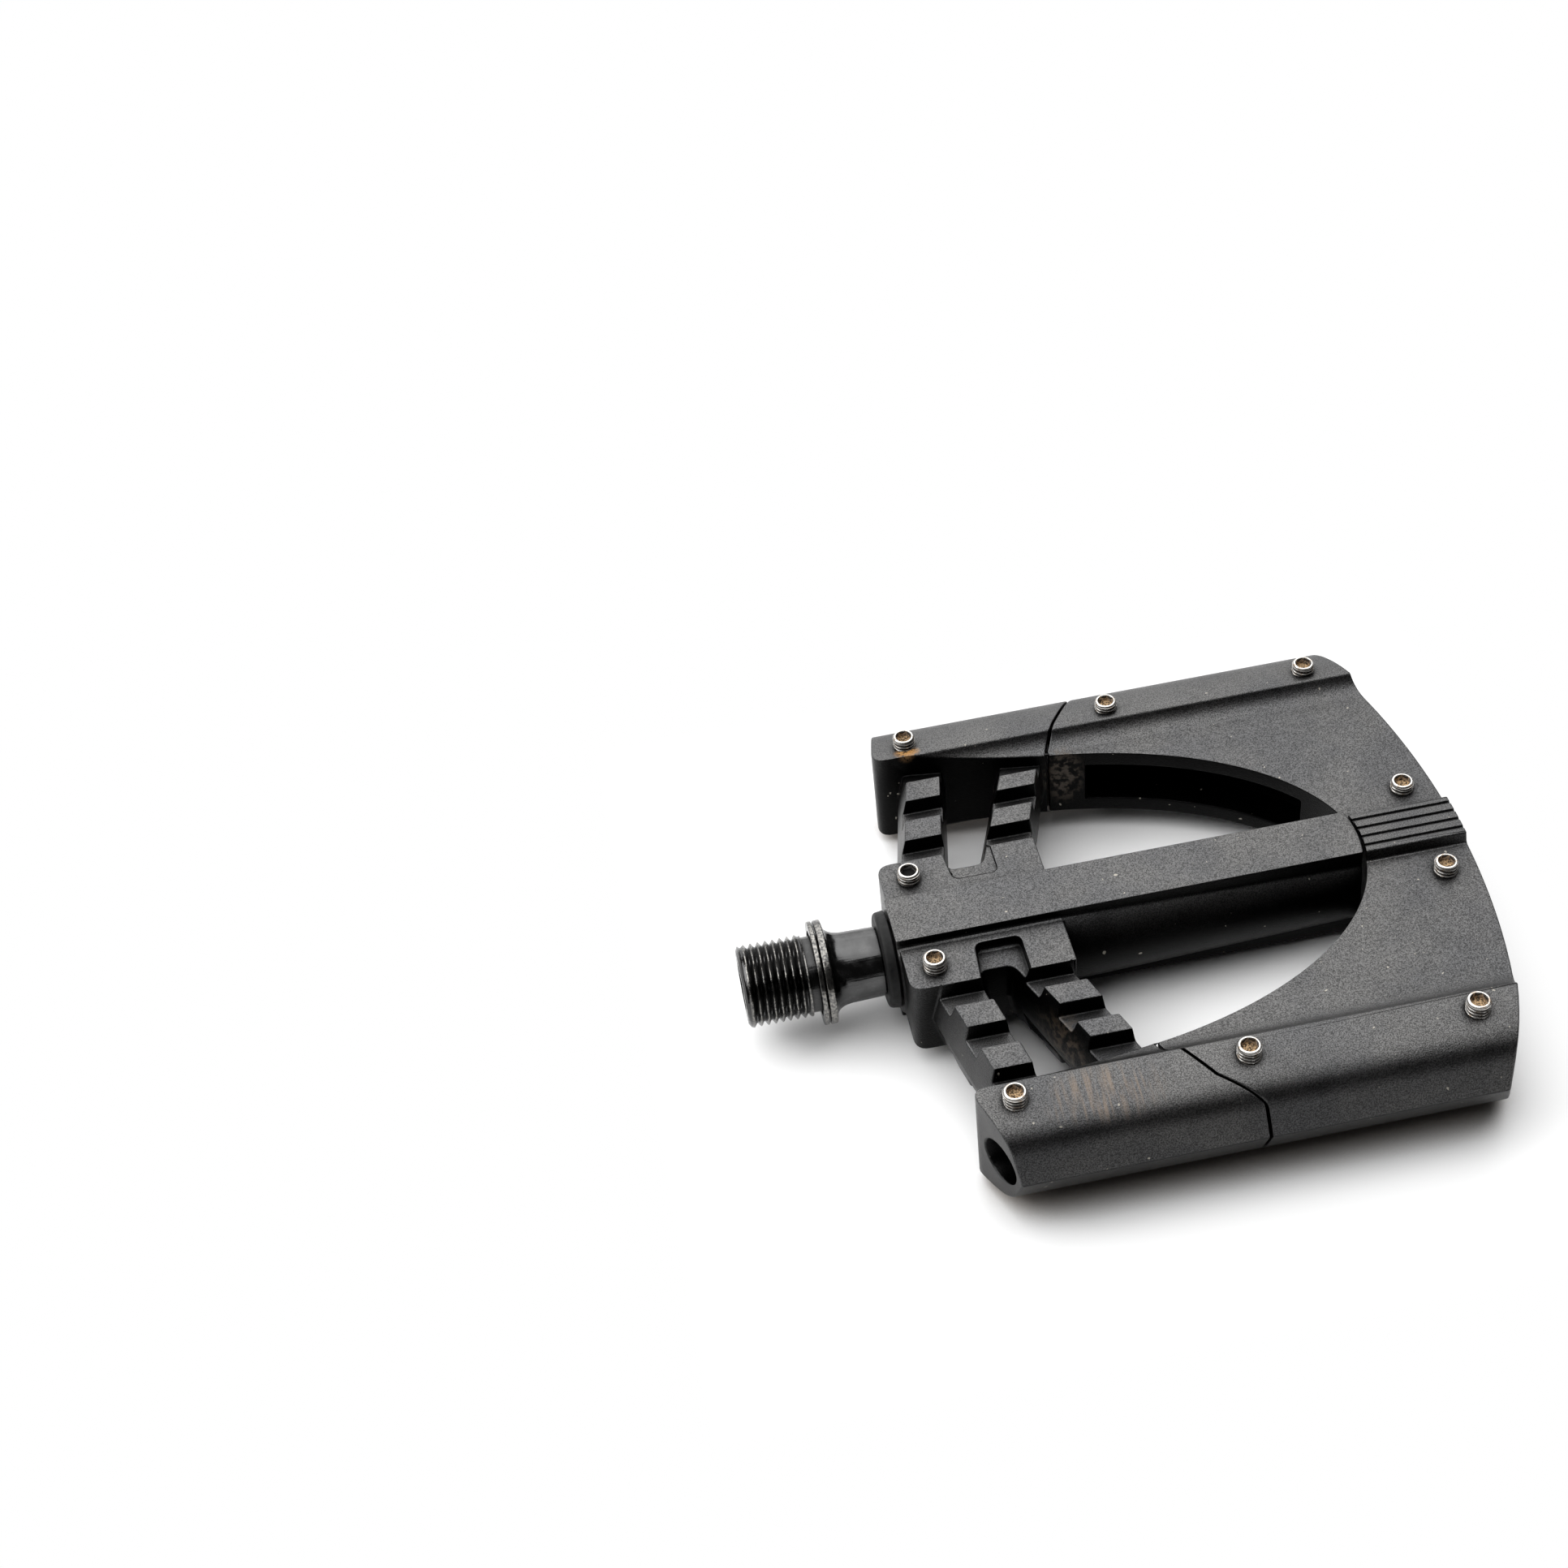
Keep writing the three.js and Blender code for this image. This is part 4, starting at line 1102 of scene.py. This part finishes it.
def black_alloy():
    """Dyed black alloy with a fine grain, darker in its pits, with painted shade where it is closed in."""
    nodes = Nodes("satin black alloy")
    grain = nodes.noise(**GRAIN)
    color = nodes.mix(nodes.ramp(nodes.noise(ALLOY_TONE_SIZE), *ALLOY_TONE_SPAN), ALLOY_DARK, ALLOY_LIGHT)
    line = nodes.ramp(nodes.math("ABSOLUTE", nodes.axis("Z")), *PARTING_LINE_SPAN)
    shade = nodes.math("MULTIPLY", nodes.ramp(grain, *GRAIN_SPAN), line)
    # Painted shade: the colour is darkened where the surface is closed in
    shade = nodes.math("MULTIPLY", shade, nodes.ramp(nodes.open_share(SHADE_REACH), *SHADE_SPAN))
    color = nodes.mix(shade, ALLOY_PIT_AND_SHADE, color)
    streaks = nodes.ramp(nodes.streaks(SCUFF_STREAK), *SCUFF_SPAN)
    mottle = nodes.ramp(nodes.noise(**MUD_GRAIN), *MUD_SPAN)
    crust = nodes.ramp(nodes.noise(RUST_SIZE), *RUST_SPAN)
    covered = nodes.ramp(nodes.noise(**DUST_GRAIN), *DUST_SPAN)
    color = nodes.mix(covered, color, DUST)
    worn_places = (
        (BLOCK_SCUFF, SCUFF, streaks),
        (ARCH_DIRT, MUD, mottle),
        (ARM_DIRT, MUD, mottle),
        (PIN_RUST, RUST, crust),
    )
    for place, tint, pattern in worn_places:
        share = nodes.math("MULTIPLY", nodes.spot(*place), pattern)
        color = nodes.mix(share, color, tint)
        covered = nodes.math("MAXIMUM", covered, share)
    metallic = nodes.math("SUBTRACT", 1.0, covered)
    roughness = nodes.ramp(nodes.noise(ALLOY_GLOSS_SIZE), *MIDDLE_SPAN, *ALLOY_ROUGHNESS)
    return nodes.finish(color, roughness, nodes.bump(grain, GRAIN_DEPTH), metallic=metallic)


# Black oxide steel
OXIDE_DARK = (0.07, 0.07, 0.07)
OXIDE_LIGHT = (0.1, 0.1, 0.1)
OXIDE_TONE_SIZE = 3.0
OXIDE_TONE_SPAN = (0.35, 0.7)
# Painted shade: the steel's colour goes near black where it is closed in within this reach
OXIDE_PAINTED_SHADE = (0.003, 0.003, 0.003)
OXIDE_SHADE_REACH = 5.0
OXIDE_SHADE_SPAN = (0.2, 0.8)
OXIDE_GLOSS_SIZE = 1.5
OXIDE_ROUGHNESS = (0.14, 0.28)
OXIDE_STREAK = (14.0, 0.8, 0.8)
OXIDE_STREAK_DEPTH = 0.06
OXIDE_GRAIN = {"size_mm": 0.25, "detail": 2.0}
OXIDE_GRAIN_DEPTH = 0.01
WORN_STEEL = (0.3, 0.29, 0.27)
WORN_GRAIN = {"size_mm": 0.5, "detail": 4.0}
WORN_SPAN = (0.35, 0.65)
WORN_CREST_SHARE = 1 / 3


def black_steel():
    """Black oxide, worn bright on the thread's crests and on the rims of flange and washer, with painted
    shade where it is closed in.
    """
    nodes = Nodes("black oxide steel")
    radius = nodes.vector("LENGTH", nodes.vector("MULTIPLY", nodes.where, Vector((0, 1, 1))), Vector())
    on_thread = nodes.math("LESS_THAN", nodes.axis("X"), (THREAD_END_X + THREAD_LENGTH - MIDDLE_X) * MM)
    crest = nodes.ramp(radius, (THREAD_RADIUS - THREAD_DEPTH * WORN_CREST_SHARE) * MM, THREAD_RADIUS * MM)
    rim = nodes.ramp(radius, (FLANGE_RADIUS - FLANGE_EDGE) * MM, FLANGE_RADIUS * MM)
    worn = nodes.math("MAXIMUM", nodes.math("MULTIPLY", crest, on_thread), rim)
    worn = nodes.math("MULTIPLY", worn, nodes.ramp(nodes.noise(**WORN_GRAIN), *WORN_SPAN))
    color = nodes.mix(nodes.ramp(nodes.noise(OXIDE_TONE_SIZE), *OXIDE_TONE_SPAN), OXIDE_DARK, OXIDE_LIGHT)
    # Painted shade where the steel is closed in
    shade = nodes.ramp(nodes.open_share(OXIDE_SHADE_REACH), *OXIDE_SHADE_SPAN)
    color = nodes.mix(shade, OXIDE_PAINTED_SHADE, color)
    color = nodes.mix(worn, color, WORN_STEEL)
    roughness = nodes.ramp(nodes.noise(OXIDE_GLOSS_SIZE), *MIDDLE_SPAN, *OXIDE_ROUGHNESS)
    normal = nodes.bump(nodes.streaks(OXIDE_STREAK), OXIDE_STREAK_DEPTH)
    normal = nodes.bump(nodes.noise(**OXIDE_GRAIN), OXIDE_GRAIN_DEPTH, normal)
    return nodes.finish(color, roughness, normal, metallic=1.0)


# Plated steel of the pins
PLATING = (0.6, 0.585, 0.56)
PLATING_GLOSS_SIZE = 0.5
PLATING_ROUGHNESS = (0.16, 0.32)
PLATING_GRAIN = {"size_mm": 0.2, "detail": 2.0}
PLATING_GRAIN_DEPTH = 0.02
PLATING_RUST = (0.3, 0.21, 0.13)
PLATING_RUST_GRAIN = {"size_mm": 0.9, "detail": 4.0}
PLATING_RUST_SPAN = (0.5, 0.66, 0.0, 0.7)
# Dark colour for dirt in the thread's grooves and for painted shade on the key hole's walls
GROOVE_DIRT_AND_SHADE = (0.02, 0.015, 0.011)
GROOVE_SPAN = (0.15, 0.75)
GROOVE_COVER = 0.8
CRUMB_DARK = (0.03, 0.02, 0.012)
CRUMB_LIGHT = (0.5, 0.34, 0.19)
CRUMB_SIZE = 0.3
CRUMB_SPAN = (0.4, 0.58)
SOCKET_PAINTED_SHADE = (0.004, 0.004, 0.004)


def pin_steel():
    """Worn plating, with dirt-dark thread grooves, painted shade on the key hole's walls and in one key hole,
    rust in patches and brown dirt in the key hole.
    """
    nodes = Nodes("worn plated steel")
    groove_dirt_and_shade = nodes.ramp(nodes.mark("groove_dirt_and_shade"), *GROOVE_SPAN)
    rust = nodes.ramp(nodes.noise(**PLATING_RUST_GRAIN), *PLATING_RUST_SPAN)
    crumbs = nodes.ramp(nodes.noise(CRUMB_SIZE), *CRUMB_SPAN)
    dirt = nodes.mark("dirt")
    filling = nodes.mix(crumbs, CRUMB_DARK, CRUMB_LIGHT)
    # Painted shade: one pin's key hole is filled with black
    filling = nodes.mix(nodes.spot(*SHADED_SOCKET_SPOT), filling, SOCKET_PAINTED_SHADE)
    color = nodes.mix(rust, PLATING, PLATING_RUST)
    color = nodes.mix(groove_dirt_and_shade, color, GROOVE_DIRT_AND_SHADE)
    color = nodes.mix(dirt, color, filling)
    covered = nodes.math("MAXIMUM", dirt, nodes.math("MULTIPLY", groove_dirt_and_shade, GROOVE_COVER))
    metallic = nodes.math("SUBTRACT", 1.0, covered)
    roughness = nodes.ramp(nodes.noise(PLATING_GLOSS_SIZE), *MIDDLE_SPAN, *PLATING_ROUGHNESS)
    roughness = nodes.math("MAXIMUM", roughness, covered)
    normal = nodes.bump(nodes.noise(**PLATING_GRAIN), PLATING_GRAIN_DEPTH)
    return nodes.finish(color, roughness, normal, metallic=metallic)


# Plain finishes: two colours and two roughnesses, each with the size of its patches, and a grain
MATT = {
    "tone_size": 1.5,
    "roughness": (0.45, 0.6),
    "gloss_size": 1.0,
    "grain_size": 0.2,
    "grain_depth": 0.01,
    "specular": 0.2,
}
PLAIN_FINISHES = {
    "bearing_steel": {
        "name": "ground steel",
        "colors": ((0.5, 0.5, 0.51), (0.58, 0.58, 0.58)),
        "tone_size": 2.0,
        "roughness": (0.2, 0.35),
        "gloss_size": 0.8,
        "grain_size": 0.3,
        "grain_depth": 0.005,
        "metallic": 1.0,
    },
    "black_rubber": {
        "name": "black rubber",
        "colors": ((0.005, 0.005, 0.005), (0.01, 0.01, 0.01)),
        **MATT,
    },
    "black_plastic": {
        "name": "moulded black plastic",
        "colors": ((0.015, 0.015, 0.015), (0.025, 0.025, 0.025)),
        **MATT,
    },
    "bronze": {
        "name": "sintered bronze",
        "colors": ((0.32, 0.2, 0.09), (0.38, 0.25, 0.12)),
        "tone_size": 1.2,
        "roughness": (0.35, 0.55),
        "gloss_size": 0.6,
        "grain_size": 0.15,
        "grain_depth": 0.01,
        "metallic": 0.9,
    },
}


def plain_finish(name, colors, tone_size, roughness, gloss_size, grain_size, grain_depth, **levels):
    nodes = Nodes(name)
    color = nodes.mix(nodes.ramp(nodes.noise(tone_size), *MIDDLE_SPAN), *colors)
    gloss = nodes.ramp(nodes.noise(gloss_size), *MIDDLE_SPAN, *roughness)
    return nodes.finish(color, gloss, nodes.bump(nodes.noise(grain_size), grain_depth), **levels)


finishes = {
    "black_alloy": black_alloy(),
    "black_steel": black_steel(),
    "pin_steel": pin_steel(),
}
for slot_name, look in PLAIN_FINISHES.items():
    finishes[slot_name] = plain_finish(**look)


def dress(piece, material):
    piece.data.materials.clear()
    piece.data.materials.append(material)


for piece in pieces.values():
    dress(piece, finishes[piece["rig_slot"]])

replaced_nodes = {name for piece in pieces.values() for name in piece["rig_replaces"]}
for subpart in frame["record"]["subparts"]:
    if subpart["node"] not in replaced_nodes:
        dress(frame["nodes"][subpart["node"]], finishes[subpart["material_slot"]])


# Camera, with lengths in millimetres

CAMERA_PITCH = math.radians(43.145)
CAMERA_ROLL = math.radians(-7.493)
CAMERA_DISTANCE = 426.51
PEDAL_TURN = math.radians(-4.606)
PEDAL_SHIFT = (26.015, -33.432, -11.8)
LENS = 54.785
SENSOR = 36.0
CLIP_START = 10.0


def add_camera():
    forward = Vector((0, math.cos(CAMERA_PITCH), -math.sin(CAMERA_PITCH)))
    right = Vector((1, 0, 0))
    up = right.cross(forward)
    rolled_right = right * math.cos(CAMERA_ROLL) + up * math.sin(CAMERA_ROLL)
    rolled_up = up * math.cos(CAMERA_ROLL) - right * math.sin(CAMERA_ROLL)
    axes = Matrix((rolled_right, rolled_up, -forward)).transposed().to_4x4()
    photo_pose = Matrix.Translation(-forward * CAMERA_DISTANCE) @ axes
    to_pedal = Matrix.Rotation(PEDAL_TURN, 4, "Z") @ Matrix.Translation(-Vector(PEDAL_SHIFT))
    pose = Matrix.Translation((-MIDDLE_X, 0, 0)) @ to_pedal @ photo_pose
    pose.translation *= MM
    data = bpy.data.cameras.new("camera")
    data.lens = LENS
    data.sensor_width = SENSOR
    data.clip_start = CLIP_START * MM
    camera = bpy.data.objects.new("camera", data)
    camera.matrix_world = pose
    bpy.context.scene.collection.objects.link(camera)
    bpy.context.scene.camera = camera


# Floor, with lengths in millimetres

FLOOR_HALF = 6000.0
FLOOR_ROUGHNESS = 0.9
FLOOR_SPECULAR = 0.1
FLOOR_COLOR = (0.85, 0.85, 0.85)
FLOOR_SEEN = (1.0, 1.0, 1.0)
# Painted shadow: the floor's colour where the pedal closes it in, left off under the pedal's middle
FLOOR_PAINTED_SHADOW = (0.36, 0.31, 0.27)
CONTACT_SHADOW_REACH = 8.0
CONTACT_SHADOW_SPAN = (0.15, 0.8)
CONTACT_SHADOW_INNER_Y = 33.0
CONTACT_SHADOW_OUTER_Y = 43.0
SHADOW_HALF_X = 52.0
SHADOW_HALF_Y = 50.0
SHADOW_FADE = 30.0


def stage_material(name):
    """A pale floor that takes the pedal's shadow, with a painted contact shadow where the pedal closes it in
    except under its middle, and turns plain white for the eye away from it.
    """
    nodes = Nodes(name)
    nodes.shader.inputs["Roughness"].default_value = FLOOR_ROUGHNESS
    nodes.shader.inputs["Specular IOR Level"].default_value = FLOOR_SPECULAR
    past = [
        nodes.math("SUBTRACT", nodes.math("ABSOLUTE", nodes.axis(letter)), half * MM)
        for letter, half in (("X", SHADOW_HALF_X), ("Y", SHADOW_HALF_Y))
    ]
    away = nodes.ramp(nodes.math("MAXIMUM", *past), 0.0, SHADOW_FADE * MM)
    rays = nodes.add("ShaderNodeLightPath")
    seen = rays.outputs["Is Camera Ray"]
    pale = nodes.mix(seen, FLOOR_COLOR, FLOOR_SEEN)
    across = nodes.math("ABSOLUTE", nodes.axis("Y"))
    inside = nodes.ramp(across, CONTACT_SHADOW_INNER_Y * MM, CONTACT_SHADOW_OUTER_Y * MM, 1.0, 0.0)
    # Painted shadow: the floor darkens toward its shadow colour where it is closed in
    floor_without_painted_shadow = nodes.math("MAXIMUM", nodes.ramp(nodes.open_share(CONTACT_SHADOW_REACH), *CONTACT_SHADOW_SPAN), inside)
    nodes.link(nodes.mix(floor_without_painted_shadow, FLOOR_PAINTED_SHADOW, pale), nodes.shader.inputs["Base Color"])
    for kind in ("Is Glossy Ray", "Is Transmission Ray"):
        seen = nodes.math("MAXIMUM", seen, rays.outputs[kind])
    glow = nodes.add("ShaderNodeEmission")
    both = nodes.add("ShaderNodeMixShader")
    nodes.link(nodes.math("MULTIPLY", seen, away), both.inputs[0])
    nodes.link(nodes.shader.outputs[0], both.inputs[1])
    nodes.link(glow.outputs[0], both.inputs[2])
    nodes.link(both.outputs[0], nodes.tree.nodes["Material Output"].inputs["Surface"])
    return nodes.material


def add_floor(height):
    mesh = bpy.data.meshes.new("floor")
    corners = [(x, y, height) for x, y in box_corners(FLOOR_HALF * MM, FLOOR_HALF * MM)]
    mesh.from_pydata(corners, [], [(0, 1, 2, 3)])
    floor = new_object("floor", mesh)
    floor.data.materials.append(stage_material("pale floor"))


# Light: each lamp's place and size in metres, and its brightness

LAMPS = {
    "overhead softbox": ((-0.2, 0.44, 1.37), (3.2, 2.5), 2.4),
    "left softbox": ((-1.6, 0.2, 0.95), (1.4, 1.2), 2.6),
    "back wall": ((-0.3, 2.4, 0.7), (3.0, 1.2), 1.6),
}
WORLD_STRENGTH = 0.04


def add_area_light(name, place_m, size_m, radiance):
    """A lamp of a plain brightness that faces the pedal; its power follows from its size."""
    data = bpy.data.lights.new(name, "AREA")
    data.shape = "RECTANGLE"
    data.size, data.size_y = size_m
    data.energy = radiance * math.pi * size_m[0] * size_m[1]
    lamp = bpy.data.objects.new(name, data)
    lamp.location = place_m
    lamp.rotation_euler = (-Vector(place_m)).to_track_quat("-Z", "Y").to_euler()
    bpy.context.scene.collection.objects.link(lamp)


def add_world(strength):
    world = bpy.data.worlds.new("studio")
    bpy.context.scene.world = world
    world.use_nodes = True
    background = world.node_tree.nodes["Background"]
    background.inputs["Color"].default_value = (1, 1, 1, 1)
    background.inputs["Strength"].default_value = strength


add_camera()
add_floor(cad_box[0][2])
for lamp_name, lamp_values in LAMPS.items():
    add_area_light(lamp_name, *lamp_values)
add_world(WORLD_STRENGTH)
bpy.context.scene.view_settings.view_transform = "Standard"
